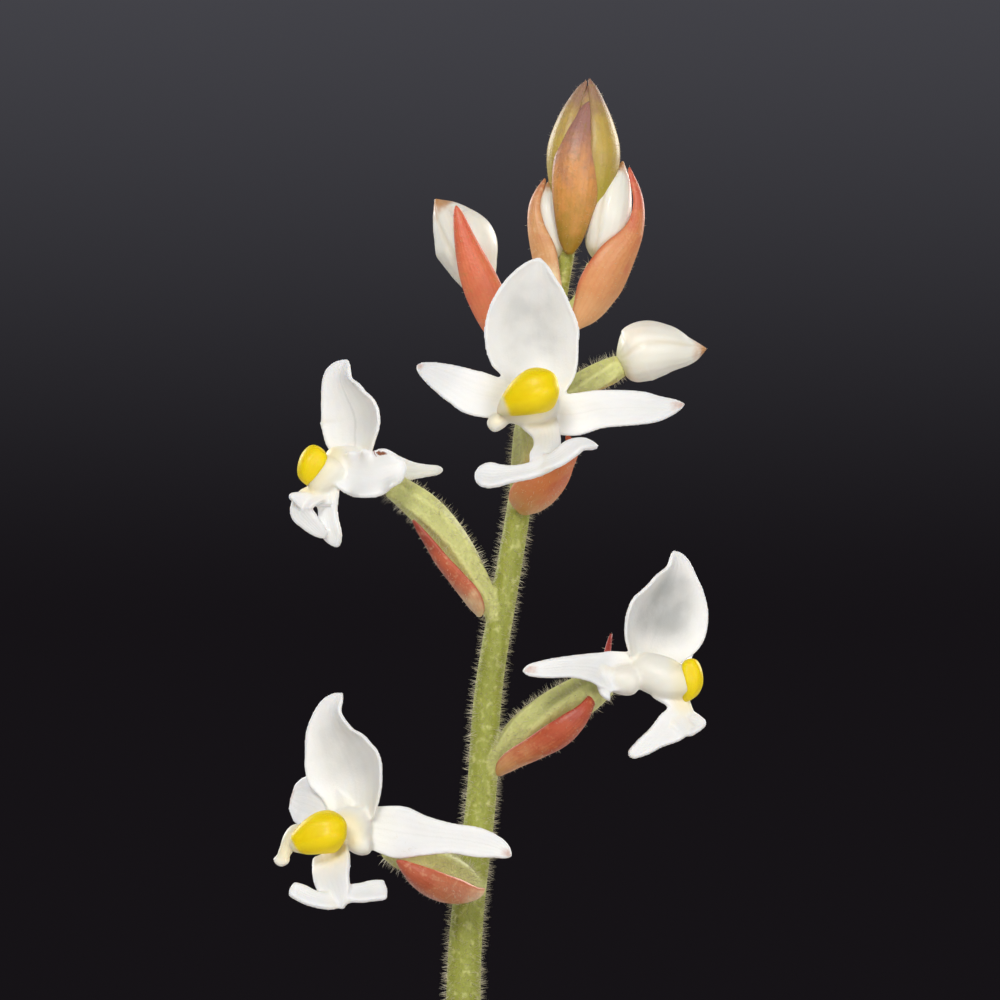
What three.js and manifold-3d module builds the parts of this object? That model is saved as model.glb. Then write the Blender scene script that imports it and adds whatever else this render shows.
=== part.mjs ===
// A potted jewel orchid in flower: clay pot, potting mix, leafy stems and one spike of twisted white flowers.
// Millimetres, +Z up. The origin is the centre of the pot's underside, and the spike's front faces -Y.

import * as THREE from "three";
import { mergeVertices } from "three/addons/utils/BufferGeometryUtils.js";
import Module from "manifold-3d";

const wasm = await Module();
wasm.setup();

const GAP = 0.3; // between pieces that touch
const PETAL_THICK = 0.6;
const BRACT_THICK = 0.6;
const LEAF_THICK = 0.9;

const POT = {
  height: 85,
  baseRadius: 34,
  topRadius: 47, // of the tapered wall, carried up to the rim
  collarHeight: 18,
  collarStep: 3, // that the collar stands proud of the wall
  wall: 4.5,
  floor: 6,
  edge: 1.5, // of the rounding at the rim, foot and floor
  drains: 3,
  drainRadius: 4,
  drainRing: 18, // distance of the drain holes from the middle
};
const MIX = {
  level: 76,
  relief: 1.4,
  rings: 5,
  lumps: [0.55, 0.47, 0.9], // how closely they follow one another, in radians a millimetre
  rim: 6, // width over which the lumps die out at the pot
};
const ROUND = 32; // facets of the pot and of what fills it
const FLAT = 0.001; // bend of a flat blade, in radians

// The flower stalk from its foot in the main stem to the tip of the spike.
const STALK = {
  line: [
    [-2.2, 2.4, 121],
    [-1.7, 1.3, 141],
    [-1, 0.5, 162],
    [-0.3, 0.1, 180],
    [0, 0, 194],
    [1.1, 0, 204],
    [1.7, 0, 212.5],
    [3.3, 0, 222],
    [4.95, 0, 232],
    [6.6, 0, 240.4],
    [7.8, 0, 247.5],
  ],
  radius: [1.7, 1.65, 1.5, 1.35, 1.2, 1.08, 1, 0.9, 0.8, 0.6, 0.5],
};
const TIP_BUD = {
  rib: [[7.9, 0.1, 247.9], [8.2, 0.1, 250], [8.5, 0.1, 252.5], [8.7, 0.1, 254.6], [8.8, 0.1, 255.8]],
  r: [0.7, 1.15, 1.1, 0.65, 0.2],
};

// How finely each kind of blade is split along and across, and each kind of rod along and round.
const SPLIT = {
  hood: [7, 4],
  sepal: [6, 2],
  claw: [3, 2],
  lobe: [4, 2],
  bract: [6, 4],
  sheath: [4, 4],
  leaf: [9, 4],
  drain: [1, 12],
  stem: [8, 10],
  stalk: [22, 8],
  ovary: [4, 8],
  body: [4, 8],
  cap: [5, 8],
  bud: [6, 8],
};
const THINNEST = { half: 0.2, radius: 0.15 }; // a blade's half width and a rod's radius at their tips

// The open flowers. `at` is a flower's heart, and its petals, fleshy bodies and cap count from there:
// x right, y back, z up. An ovary or a bract grows from the stalk, so its places are the plant's own.
// Each blade has a midrib, half widths spread evenly along it, the way its upper face looks and its cup.
const FLOWERS = {
  front: {
    at: [4.9, -9, 232.6],
    ovary: {
      rib: [[3.9, 0, 225.8], [4.3, -3.3, 228.2], [4.7, -6, 230.6], [4.85, -7.7, 231.8]],
      r: [0.75, 1.05, 1.2, 1.1],
    },
    bodies: [
      {
        rib: [[0, 0.9, -0.4], [0, -0.4, 0.1], [-1.2, -1, -0.3], [-2.5, -0.7, -0.8]],
        r: [1.3, 1.5, 1.1, 0.6],
      },
      { rib: [[-2.4, -0.6, -0.7], [-3.2, -0.7, -1.4]], r: [0.75, 0.6] },
    ],
    petals: [
      {
        split: "hood", face: [0, -1, 0], cup: 0.6, half: [1.5, 2.65, 3.35, 3.1, 1.85, 0.3],
        rib: [
          [0, 0.9, 0.3], [0.1, 1.5, 2.3], [-0.2, 1.9, 4.5],
          [-0.3, 1.7, 6.6], [-0.2, 1, 8.7], [0.35, 0.1, 10.2],
        ],
      },
      {
        split: "sepal", face: [0, -1, 0.2], cup: 0.2, half: [1.2, 1.6, 1.4, 1.15, 0.75, 0.25],
        rib: [
          [-0.9, 0.4, 0.2], [-3.8, 0, 0.7], [-5.2, 0.2, 1.3],
          [-6.2, 0.6, 1.8], [-7.3, 1.2, 2.35], [-8.2, 1.9, 2.8],
        ],
      },
      {
        split: "sepal", face: [0, -1, 0.15], cup: 0.2, half: [1.3, 1.5, 1.35, 1.2, 0.9, 0.25],
        rib: [
          [0.7, 0.4, -0.4], [2.5, 0.2, -0.7], [4.6, 0.2, -0.3],
          [7.2, 0.7, -0.2], [8.7, 1.2, -0.2], [10.5, 2, 0.1],
        ],
      },
      {
        split: "claw", face: [0, -0.8, 0.6], half: [1.4, 1, 0.95, 1.1],
        rib: [[0.2, -0.5, -0.8], [0.6, -2.2, -2], [0.7, -3.6, -3], [0.6, -4.6, -4.2]],
      },
      {
        split: "lobe", face: [0, -0.7, 0.7], half: [0.9, 0.75, 0.8, 0.85, 0.45],
        rib: [[0.9, -4.5, -4.2], [-0.4, -5, -4.6], [-2.1, -5.3, -4.8], [-3.3, -5.2, -4.8], [-4, -5, -4.7]],
      },
      {
        split: "lobe", face: [0, -0.7, 0.7], half: [0.8, 0.75, 0.75, 0.55, 0.25],
        rib: [[0.6, -4.5, -4.2], [1.7, -4.9, -3.7], [2.6, -5, -3.1], [3.4, -4.9, -2.7], [4.1, -4.6, -2.9]],
      },
    ],
    cap: {
      rib: [[-2.2, -2, -0.4], [-1.3, -2.3, 0.1], [-0.1, -2.6, 0.7], [0.7, -2.5, 1.15], [1.3, -2.2, 1.45]],
      r: [0.4, 0.95, 1.25, 1.15, 0.45],
    },
    bract: {
      face: [0, 0.5, 0.8], cup: 1, half: [1.2, 1.7, 1.8, 1.3, 0.3],
      rib: [[4.2, -1.3, 225], [4.8, -3.2, 225.6], [5.6, -5.2, 226.7], [6.5, -6.7, 228], [7.3, -7.7, 229.4]],
    },
  },
  left: {
    at: [-8.1, -2, 228.5],
    ovary: {
      rib: [[2, 0, 217.8], [-0.7, -0.7, 222.1], [-2.7, -1.2, 225], [-4.7, -1.7, 226.8], [-6.8, -2, 227.9]],
      r: [0.75, 1.05, 1.2, 1.2, 1],
    },
    bodies: [
      { rib: [[1, 0, -0.4], [-0.3, 0, 0], [-1.4, -0.1, 0.1], [-2, -0.3, 0.1]], r: [1.25, 1.35, 1.1, 0.7] },
    ],
    petals: [
      {
        split: "hood", face: [-0.6, -0.8, 0], cup: 0.4, half: [1.5, 2.2, 2.5, 1.9, 1.25, 0.3],
        rib: [
          [0.25, 0.2, 0.4], [0.15, 0.4, 1.9], [0.1, 0.4, 3.5],
          [-0.5, 0.2, 5], [-0.9, -0.1, 6.3], [-0.5, -0.4, 7.5],
        ],
      },
      {
        split: "sepal", face: [-0.6, -0.7, 0.2], cup: 0.3, half: [1.2, 1.6, 1.75, 1.4, 0.45],
        rib: [[-0.3, -0.6, -0.3], [0.7, -1.7, -0.5], [1.9, -2.9, -0.6], [3, -4, -0.2], [4, -5, 0.2]],
      },
      {
        split: "sepal", face: [-0.5, 0.8, 0.2], cup: 0.2, half: [1.2, 1.4, 0.9, 0.3],
        rib: [[0.2, 0.6, -0.3], [2.1, 2.4, -0.4], [4.3, 4, -0.5], [6.3, 5.2, -0.4]],
      },
      {
        split: "claw", face: [-0.3, -0.8, 0.5], half: [1, 0.9, 0.9, 0.9],
        rib: [[-0.4, -0.4, -0.4], [-1.4, -0.6, -0.9], [-2.2, -0.8, -1.4], [-2.8, -0.8, -2]],
      },
      {
        split: "lobe", face: [-0.9, -0.5, 0.3], half: [0.8, 1.1, 0.9, 0.65, 0.3],
        rib: [[-2.7, -0.5, -1.7], [-3.4, -1.3, -2.3], [-3.4, -2, -3.1], [-3.2, -2.6, -3.9], [-2.9, -3, -4.6]],
      },
      {
        split: "lobe", face: [-0.5, -0.8, 0.3], half: [0.9, 0.85, 0.7, 0.6, 0.35],
        rib: [[-2.4, -0.8, -1.6], [-2.2, 0.2, -2.8], [-2.1, 0.8, -3.7], [-1.7, 1.3, -4.6], [-1.1, 1.6, -5.7]],
      },
    ],
    cap: {
      rib: [[-1.9, -1.3, 1.1], [-2.3, -1.4, 0.6], [-2.7, -1.4, -0.1], [-3, -1.3, -0.8], [-3.2, -1.2, -1.4]],
      r: [0.4, 0.9, 1.1, 0.95, 0.4],
    },
    bract: {
      face: [0.55, 0, 0.8], cup: 1, half: [1.5, 1.8, 1.7, 1.4, 0.8, 0.25],
      rib: [
        [1.2, -0.5, 217.5], [-0.3, -1, 219], [-1.4, -1.4, 220.5],
        [-2.4, -1.7, 221.9], [-3.2, -2, 223.2], [-3.8, -2.2, 224.7],
      ],
    },
  },
  right: {
    at: [13, -4, 214.1],
    ovary: {
      rib: [[1.6, 0, 206.4], [4.4, -1.2, 210.1], [7.4, -2.4, 212], [10, -3.4, 213], [11.8, -3.9, 213.6]],
      r: [0.75, 1.3, 1.4, 1.25, 1],
    },
    bodies: [
      {
        rib: [[-1, 0.1, -0.4], [0, -0.4, -0.3], [1.1, -0.6, -0.7], [1.9, -0.6, -1.1]],
        r: [1.2, 1.45, 1.5, 0.9],
      },
      { rib: [[-2.8, -1, -0.8], [-1.8, -1.2, -0.8], [-0.8, -1.3, -0.9]], r: [0.5, 1, 0.8] },
    ],
    petals: [
      {
        split: "hood", face: [0.5, -0.85, 0], cup: 0.5, half: [1.9, 2.7, 3.2, 2.9, 2, 1, 0.25],
        rib: [
          [0.1, 0.2, 0.3], [0.35, 0.5, 1.6], [0.9, 0.6, 3.2], [1.45, 0.6, 4.8],
          [1.9, 0.3, 6.2], [2.15, 0, 7.3], [2, -0.4, 8.3],
        ],
      },
      {
        split: "sepal", face: [0.2, -0.9, 0.3], cup: 0.3, half: [1.3, 1.35, 1.1, 0.9, 0.7, 0.3],
        rib: [
          [-0.6, -0.6, 0], [-2.9, -1.4, 0], [-4.2, -2.1, 0.1],
          [-5.6, -2.7, 0.1], [-7, -3.2, 0], [-8.8, -3.6, -0.1],
        ],
      },
      {
        split: "sepal", face: [1, 0, 0.3], cup: 0.2, half: [1.2, 1.5, 1.1, 0.3],
        rib: [[0.4, 0.5, 0], [1.8, 2.8, 0.8], [2.8, 5.2, 1.2], [3.5, 7.4, 1.3]],
      },
      {
        split: "claw", face: [0.3, -0.9, 0.2], half: [1.2, 1, 0.85, 0.95],
        rib: [[1.5, -0.7, -1.2], [1.9, -0.9, -2.1], [2.2, -1, -2.9], [2.4, -1.1, -3.7]],
      },
      {
        split: "lobe", face: [0.6, -0.6, 0.5], half: [0.9, 0.85, 0.7, 0.6, 0.35],
        rib: [[2.5, -0.8, -3.5], [1.7, -1.7, -4.1], [0.8, -2.4, -4.7], [-0.3, -3, -5.3], [-1.2, -3.4, -6]],
      },
      {
        split: "lobe", face: [0.8, -0.3, 0.6], half: [0.9, 0.85, 0.7, 0.35],
        rib: [[2.2, -1, -3.6], [2.8, 0, -3.8], [3.4, 0.9, -4], [3.9, 1.7, -4.1]],
      },
    ],
    cap: {
      rib: [[2.5, -1.3, 0.75], [2.65, -1.4, 0.1], [2.75, -1.4, -0.65], [2.7, -1.4, -1.4], [2.5, -1.3, -2]],
      r: [0.35, 0.85, 1, 0.9, 0.4],
    },
    bract: {
      face: [-0.5, 0, 0.85], cup: 1.25, half: [1.6, 2.3, 2.5, 2.2, 1.4, 0.7, 0.25],
      rib: [
        [2.1, -0.6, 205.9], [4.2, -1.7, 207.2], [6.3, -2.5, 208], [8.1, -3, 209.7],
        [9.7, -2.6, 211.7], [10.5, -1.4, 214.2], [10.6, -0.6, 216.5],
      ],
    },
  },
  lower: {
    at: [-7.9, -7, 202.9],
    ovary: {
      rib: [
        [0.5, 0, 198], [-1.8, -2.8, 199.9], [-3.9, -4.9, 201.2],
        [-5.6, -6.1, 202.1], [-6.8, -6.7, 202.6],
      ],
      r: [0.75, 1.1, 1.2, 1.15, 1],
    },
    bodies: [
      { rib: [[1.2, 0.2, -0.3], [0, -0.3, 0.1], [-1.3, -0.7, 0], [-3, -0.7, 0.1]], r: [1.3, 1.5, 1.1, 0.6] },
      { rib: [[0.1, -0.9, -0.4], [0.9, -1.1, -0.7], [1.7, -1, -0.8]], r: [0.9, 1, 0.5] },
      {
        rib: [[-3, -0.9, 0.2], [-4.4, -1.4, -0.6], [-4.8, -1.6, -1.5], [-5.5, -1.7, -2]],
        r: [0.6, 0.5, 0.4, 0.3],
      },
    ],
    petals: [
      {
        split: "hood", face: [-0.5, -0.85, 0], cup: 0.5, half: [1.6, 2.5, 3, 2.7, 1.9, 0.95, 0.25],
        rib: [
          [0.3, 0.2, 0.6], [0.2, 0.6, 2.7], [-0.2, 0.8, 4.3], [-0.8, 0.7, 5.7],
          [-1.4, 0.4, 7.1], [-1.5, 0, 8.5], [-0.85, -0.4, 9.6],
        ],
      },
      {
        split: "sepal", face: [-0.3, -0.9, 0.2], cup: 0.2, half: [1.3, 1.7, 1.6, 0.8],
        rib: [[-0.5, 0.4, 0.6], [-2.3, 1.6, 1.6], [-3.5, 2.8, 1.9], [-4.4, 3.8, 2]],
      },
      {
        split: "sepal", face: [0, -1, 0.1], cup: 0.25, half: [1.3, 1.85, 1.4, 1.05, 1.05, 0.75, 0.3],
        rib: [
          [0.6, -0.3, 0.4], [3.2, -0.2, -0.1], [5.1, 0, -0.4], [7, 0.2, -0.6],
          [8.8, 0.4, -0.9], [10.2, 0.6, -1.3], [11.2, 0.7, -1.9],
        ],
      },
      {
        split: "claw", face: [-0.5, -0.8, 0.3], half: [1.6, 1.4, 1.3, 1.1],
        rib: [[-1, -1, -0.8], [-1.5, -2.2, -2], [-1.5, -3.1, -3.2], [-1.2, -3.7, -4.2]],
      },
      {
        split: "lobe", face: [-0.3, -0.8, 0.5], half: [0.7, 0.6, 0.6, 0.55, 0.3],
        rib: [
          [-0.8, -3.9, -4.2], [-1.6, -4.2, -4.7], [-2.5, -4.3, -4.7],
          [-3.4, -4.3, -4.5], [-4.2, -4.2, -4],
        ],
      },
      {
        split: "lobe", face: [-0.3, -0.8, 0.5], half: [0.8, 0.75, 0.8, 0.75, 0.4],
        rib: [
          [-1.4, -3.9, -4.2], [-0.6, -3.9, -4.4], [0.4, -3.7, -4.1],
          [1.4, -3.5, -3.9], [2.3, -3.2, -3.9],
        ],
      },
    ],
    cap: {
      rib: [[-3.7, -2.2, -0.6], [-3.1, -2.4, -0.2], [-2.1, -2.6, 0.1], [-1.2, -2.5, 0.25], [-0.6, -2.2, 0.3]],
      r: [0.4, 1.15, 1.4, 1.25, 0.5],
    },
    bract: {
      face: [0.3, 0, 0.9], cup: 1.1, half: [1.5, 2.1, 2.1, 1.4, 0.25],
      rib: [[0.4, -1, 197.2], [-1.5, -3, 197.6], [-3, -4.6, 198.6], [-4.2, -5.8, 199.8], [-5.1, -6.6, 201]],
    },
  },
};

// The buds, each with its ovary and its bract. All places are the plant's own.
const BUDS = {
  left: {
    ovary: {
      rib: [[5.7, 0, 235.6], [4, 0.9, 237], [2.6, 0.9, 238.8], [1.9, 0.7, 240.2]],
      r: [0.6, 0.8, 0.85, 0.75],
    },
    bud: {
      rib: [[1.7, 0.7, 240.6], [0.8, 0.7, 242.4], [0.1, 0.6, 244.3], [-1.1, 0.5, 246.2], [-2.15, 0.4, 247.7]],
      r: [0.7, 1.75, 2.1, 1.55, 0.25],
    },
    bract: {
      face: [0, 1, 0.2], cup: 0.9, half: [1, 1.3, 1.45, 1.35, 0.95, 0.25],
      rib: [
        [4.8, -1.1, 235.6], [3, -1.7, 237.4], [1.8, -2.1, 239.7],
        [1, -2.2, 242.1], [0.3, -2, 244.6], [-0.7, -1.6, 247.1],
      ],
    },
  },
  right: {
    ovary: {
      rib: [[5.3, 0, 232.4], [6.9, 0.9, 233.6], [8.9, 1.2, 234.9], [10.6, 1.2, 235.8]],
      r: [0.6, 0.85, 0.9, 0.8],
    },
    bud: {
      rib: [[11, 1.2, 235.9], [12.6, 1.2, 236.5], [14.3, 1.1, 236.9], [16, 1, 236.8], [17.4, 1, 237]],
      r: [1, 2.2, 1.9, 1.1, 0.25],
    },
    bract: {
      face: [-0.4, 0, 0.9], cup: 1, half: [1.3, 1.6, 1.4, 1, 0.25],
      rib: [[5.7, 0.6, 231], [7.4, 1.4, 231.9], [9.1, 1.8, 232.6], [10.8, 2, 233.1], [12.4, 2, 233.4]],
    },
  },
  upper_right: {
    ovary: { rib: [[6.9, 0, 240.6], [8, -0.2, 241.8], [8.8, -0.3, 243]], r: [0.5, 0.7, 0.7] },
    bud: {
      rib: [[9, -0.3, 243.4], [9.8, -0.4, 245], [10.4, -0.4, 246.8], [10.9, -0.2, 248.5], [11.2, 0, 250.1]],
      r: [0.7, 1.35, 1.45, 1.05, 0.25],
    },
    bract: {
      face: [-0.45, 0.8, 0.2], cup: 0.9, half: [0.8, 1.15, 1.65, 1.45, 1, 0.55, 0.25],
      rib: [
        [7.9, -0.9, 238.5], [8.7, -1.4, 239.9], [9.7, -1.9, 241.7], [11, -2, 243.6],
        [11.8, -1.8, 245.4], [12.3, -1.3, 247.5], [12, -0.8, 249.8],
      ],
    },
  },
  upper_left: {
    ovary: { rib: [[6.9, 0, 241.6], [6.7, 0.4, 242.6], [6.4, 0.9, 243.6]], r: [0.5, 0.6, 0.6] },
    bud: {
      rib: [[6.2, 1.1, 243.9], [5.8, 1.5, 245.5], [5.7, 1.6, 247], [6.1, 1.4, 248.6]],
      r: [0.6, 1.15, 1.05, 0.25],
    },
    bract: {
      face: [0.8, 0.5, 0.2], cup: 0.9, half: [0.9, 1.4, 1.45, 1.1, 0.25],
      rib: [[6.3, -0.6, 240.8], [5.5, -0.6, 242.6], [4.9, -0.3, 244.8], [4.9, 0, 246.9], [5.8, 0.2, 249]],
    },
  },
};

// The bracts that close the tip of the spike.
const TIP_BRACTS = {
  front: {
    face: [0, 1, 0], cup: 0.8, half: [0.55, 1.3, 1.75, 1.7, 1.2, 0.3],
    rib: [
      [7.4, -1, 243.9], [7.7, -1.8, 246.2], [7.95, -2.2, 248.4],
      [8.15, -2.2, 250.5], [8.35, -1.8, 252.4], [8.6, -1, 254.2],
    ],
  },
  right: {
    face: [-1, -0.3, 0], cup: 0.7, half: [1, 1.5, 1.5, 1.1, 0.25],
    rib: [[10, 0.4, 247.8], [10.75, 0.3, 250.2], [10.6, 0.3, 252.4], [9.9, 0.2, 254.5], [8.95, 0.1, 256.3]],
  },
  left: {
    face: [1, -0.3, 0], cup: 0.7, half: [1, 1.5, 1.4, 1, 0.25],
    rib: [[6.1, 0.7, 249.4], [6.15, 0.6, 251], [6.65, 0.5, 252.6], [7.5, 0.3, 254.3], [8.45, 0.1, 255.8]],
  },
  back: {
    face: [0, -1, 0], cup: 0.7, half: [0.9, 1.6, 1.7, 1.2, 0.3],
    rib: [[7.9, 2, 246.6], [8.2, 2.5, 249], [8.4, 2.3, 251.4], [8.5, 1.8, 253.6], [8.7, 1.1, 255.4]],
  },
};

// Sheathing bracts on the lower stalk: height of the foot, length, and the compass direction they lean to.
// Compass directions are degrees: 0 is +X and 90 is +Y.
const SHEATHS = [
  { z: 134, length: 19, turn: 220 },
  { z: 153, length: 17, turn: 20 },
  { z: 171, length: 14.5, turn: 140 },
];
const SHEATH = { half: [4.4, 4.3, 3.6, 2.2, 0.3], cup: [2.2, 2.1, 1.7, 1, 0.4], lean: 1.6 };

// Leafy stems: the line from below the mix to the tip, and the leaves on it.
// A leaf: height of its node, compass direction, length, how high it rises and how far its end droops.
const STEM_RADIUS = [4, 3.9, 3.7, 3.5, 3.2, 2.9];
const STEMS = {
  main: {
    line: [[-5, 5, 56.3], [-5, 5, 76], [-4.4, 4.4, 98], [-2.4, 2.6, 126]],
    leaves: [
      { z: 97, turn: 268, length: 62, rise: 14, droop: 10 },
      { z: 103, turn: 122, length: 64, rise: 15, droop: 10 },
      { z: 111, turn: 352, length: 60, rise: 15, droop: 8 },
      { z: 116, turn: 205, length: 56, rise: 16, droop: 6 },
      { z: 121, turn: 62, length: 48, rise: 16, droop: 4 },
    ],
  },
  left: {
    line: [[-22, -6, 56.3], [-22.5, -6.2, 76], [-28, -8.6, 88], [-36, -12, 100]],
    leaves: [
      { z: 86, turn: 150, length: 52, rise: 9, droop: 9 },
      { z: 88, turn: 240, length: 52, rise: 8, droop: 9 },
      { z: 96, turn: 184, length: 46, rise: 12, droop: 5 },
    ],
  },
  right: {
    line: [[22, -9, 56.3], [22.5, -9.2, 76], [28, -11.5, 86], [35, -14, 96]],
    leaves: [
      { z: 85, turn: 40, length: 52, rise: 9, droop: 9 },
      { z: 87, turn: 296, length: 52, rise: 9, droop: 9 },
      { z: 94.5, turn: 350, length: 46, rise: 10, droop: 6 },
    ],
  },
  back: {
    line: [[8, 26, 56.3], [8.2, 26.4, 76], [10, 31, 86], [13, 37, 97]],
    leaves: [
      { z: 86, turn: 165, length: 52, rise: 10, droop: 8 },
      { z: 88, turn: 38, length: 50, rise: 9, droop: 8 },
      { z: 95.5, turn: 103, length: 44, rise: 12, droop: 5 },
    ],
  },
};
// A leaf's stations from the foot of its sheath to its tip, as shares of its length or rise.
const LEAF = {
  sheath: 6, // below the node
  wrap: 1.15, // of the sheath round the stem, radians to each side
  reach: [0, 0.01, 0.09, 0.2, 0.4, 0.6, 0.82, 1],
  lift: [0, 0, 0.45, 0.75, 1, 0.95, 0.6, 0],
  half: [0, 0, 0.032, 0.1, 0.25, 0.285, 0.19, 0.012],
  cup: [0, 0, 0.9, 0.4, 0.25, 0.2, 0.25, 0.3],
  droopFrom: 0.3,
  wave: 0.9, // height of the ripple at the edges
  waves: 3.5,
};

const plain = (color, roughness) => new THREE.MeshStandardMaterial({ color, roughness, metalness: 0 });
const MATERIAL = {
  clay: plain(0xb4653f, 0.85),
  mix: plain(0x3a2a1e, 0.95),
  stem: plain(0x6e3b2c, 0.5),
  leaf: plain(0x2e2420, 0.45),
  stalk: plain(0x9c9c52, 0.6),
  petal: plain(0xf1efea, 0.45),
  cap: plain(0xf7cf16, 0.3),
  bract: plain(0xc0674a, 0.55),
  tipBract: plain(0xa9724a, 0.55),
};

const plant = new THREE.Group();

// The value at share s of the way along evenly spaced numbers or points, on a smooth curve through them.
function along(list, s) {
  if (!Array.isArray(list)) return list;
  if (Array.isArray(list[0])) return list[0].map((_, k) => along(list.map((p) => p[k]), s));
  const last = list.length - 1;
  const i = Math.min(Math.floor(s * last), last - 1);
  const f = s * last - i;
  const [b, c] = [list[i], list[i + 1]];
  const a = list[i - 1] ?? 2 * b - c;
  const d = list[i + 2] ?? 2 * c - b;
  return b + 0.5 * f * (c - a + f * (2 * a - 5 * b + 4 * c - d + f * (3 * b - a - 3 * c + d)));
}

// Middle, direction, normal and sideways vectors of a curve at share s. The normal keeps to `face`.
function frameAt(rib, s, face) {
  const step = 0.01;
  const middle = new THREE.Vector3(...along(rib, s));
  const behind = new THREE.Vector3(...along(rib, Math.max(s - step, 0)));
  const direction = new THREE.Vector3(...along(rib, Math.min(s + step, 1))).sub(behind).normalize();
  const normal = new THREE.Vector3(...face);
  normal.addScaledVector(direction, -direction.dot(normal)).normalize();
  return { middle, direction, normal, side: new THREE.Vector3().crossVectors(normal, direction) };
}

// A closed geometry as a solid that can be joined and cut.
function solid(geometry) {
  geometry.deleteAttribute("normal");
  geometry.deleteAttribute("uv");
  const merged = mergeVertices(geometry, 1e-4);
  return new wasm.Manifold(
    new wasm.Mesh({
      numProp: 3,
      vertProperties: new Float32Array(merged.attributes.position.array),
      triVerts: new Uint32Array(merged.index.array),
    }),
  );
}

function solidOf(points, faces) {
  const geometry = new THREE.BufferGeometry().setFromPoints(points);
  geometry.setIndex(faces);
  return solid(geometry);
}

// A thin blade along a midrib, bent across by `cup` radians at its edges and waved there by `wave`.
// `grow` makes it that much larger all round, to clear room for it in a neighbour.
function blade(shape, thick, grow = 0) {
  const { rib, half, face, cup = 0, wave = 0, waves = 0 } = shape;
  const [steps, splits] = SPLIT[shape.split];
  const tops = [];
  const bottoms = [];
  for (let i = 0; i <= steps; i++) {
    const s = i / steps;
    const { middle, direction, normal, side } = frameAt(rib, s, face);
    if (i === 0) middle.addScaledVector(direction, -grow);
    if (i === steps) middle.addScaledVector(direction, grow);
    const width = Math.max(along(half, s), THINNEST.half) + grow;
    const bend = Math.max(along(cup, s), FLAT) / width;
    for (let j = 0; j <= splits; j++) {
      const across = (2 * j) / splits - 1;
      const angle = bend * across * width;
      const ripple = wave * Math.sin(2 * Math.PI * waves * s) * Math.abs(across) ** 3;
      const point = middle.clone().addScaledVector(side, Math.sin(angle) / bend);
      point.addScaledVector(normal, (1 - Math.cos(angle)) / bend + ripple);
      const out = normal.clone().multiplyScalar(Math.cos(angle)).addScaledVector(side, -Math.sin(angle));
      tops.push(point.clone().addScaledVector(out, thick / 2 + grow));
      bottoms.push(point.addScaledVector(out, -thick / 2 - grow));
    }
  }
  return solidOf([...tops, ...bottoms], bladeFaces(steps, splits, tops.length));
}

// Both faces of a blade are split alike, and walls close them along the sides and ends.
function bladeFaces(steps, splits, under) {
  const row = splits + 1;
  const faces = [];
  const quad = (a, b, c, d) => faces.push(a, b, c, a, c, d);
  for (let i = 0; i < steps; i++) {
    for (let j = 0; j < splits; j++) {
      const a = i * row + j;
      const b = a + under;
      faces.push(a, a + row, a + row + 1, a, a + row + 1, a + 1);
      faces.push(b, b + row + 1, b + row, b, b + 1, b + row + 1);
    }
    const left = i * row;
    const right = left + splits;
    quad(left, left + under, left + row + under, left + row);
    quad(right, right + row, right + row + under, right + under);
  }
  for (let j = 0; j < splits; j++) {
    const end = steps * row + j;
    quad(j, j + 1, j + 1 + under, j + under);
    quad(end, end + under, end + 1 + under, end + 1);
  }
  return faces;
}

// A round rod of changing radius along a curve, closed at both ends.
function rod({ rib, r }, split, grow = 0) {
  const [steps, sides] = SPLIT[split];
  const points = [];
  const faces = [];
  for (let i = 0; i <= steps; i++) {
    const s = i / steps;
    const { middle, direction, normal, side } = frameAt(rib, s, [0.2, 1, 0.1]);
    if (i === 0) middle.addScaledVector(direction, -grow);
    if (i === steps) middle.addScaledVector(direction, grow);
    const radius = Math.max(along(r, s), THINNEST.radius) + grow;
    for (let j = 0; j < sides; j++) {
      const angle = (2 * Math.PI * j) / sides;
      const point = middle.clone().addScaledVector(side, radius * Math.cos(angle));
      points.push(point.addScaledVector(normal, radius * Math.sin(angle)));
    }
  }
  for (let i = 0; i < steps; i++) {
    for (let j = 0; j < sides; j++) {
      const a = i * sides + j;
      const b = i * sides + ((j + 1) % sides);
      faces.push(a, b, b + sides, a, b + sides, a + sides);
    }
  }
  const top = steps * sides;
  for (let j = 1; j < sides - 1; j++) {
    faces.push(0, j + 1, j, top, top + j, top + j + 1);
  }
  return solidOf(points, faces);
}

const join = (parts) => parts.reduce((whole, part) => whole.add(part));
const less = (whole, cutters) => cutters.reduce((left, cutter) => left.subtract(cutter), whole);

// Adds a named mesh of the solid's largest body: a scrap that a cut leaves loose is dropped.
function piece(name, whole, material) {
  const body = whole.decompose().reduce((best, next) => (next.volume() > best.volume() ? next : best));
  const { vertProperties, triVerts } = body.getMesh();
  const geometry = new THREE.BufferGeometry();
  geometry.setAttribute("position", new THREE.BufferAttribute(new Float32Array(vertProperties), 3));
  geometry.setIndex(new THREE.BufferAttribute(new Uint32Array(triVerts), 1));
  geometry.computeVertexNormals();
  const mesh = new THREE.Mesh(geometry, material);
  mesh.name = name;
  plant.add(mesh);
}

// Outer radius of the pot's tapered wall at a height.
function potRadius(z) {
  return POT.baseRadius + ((POT.topRadius - POT.baseRadius) * z) / POT.height;
}

function lathe(profile) {
  const geometry = new THREE.LatheGeometry(profile.map(([r, z]) => new THREE.Vector2(r, z)), ROUND);
  return geometry.rotateX(Math.PI / 2);
}

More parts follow.
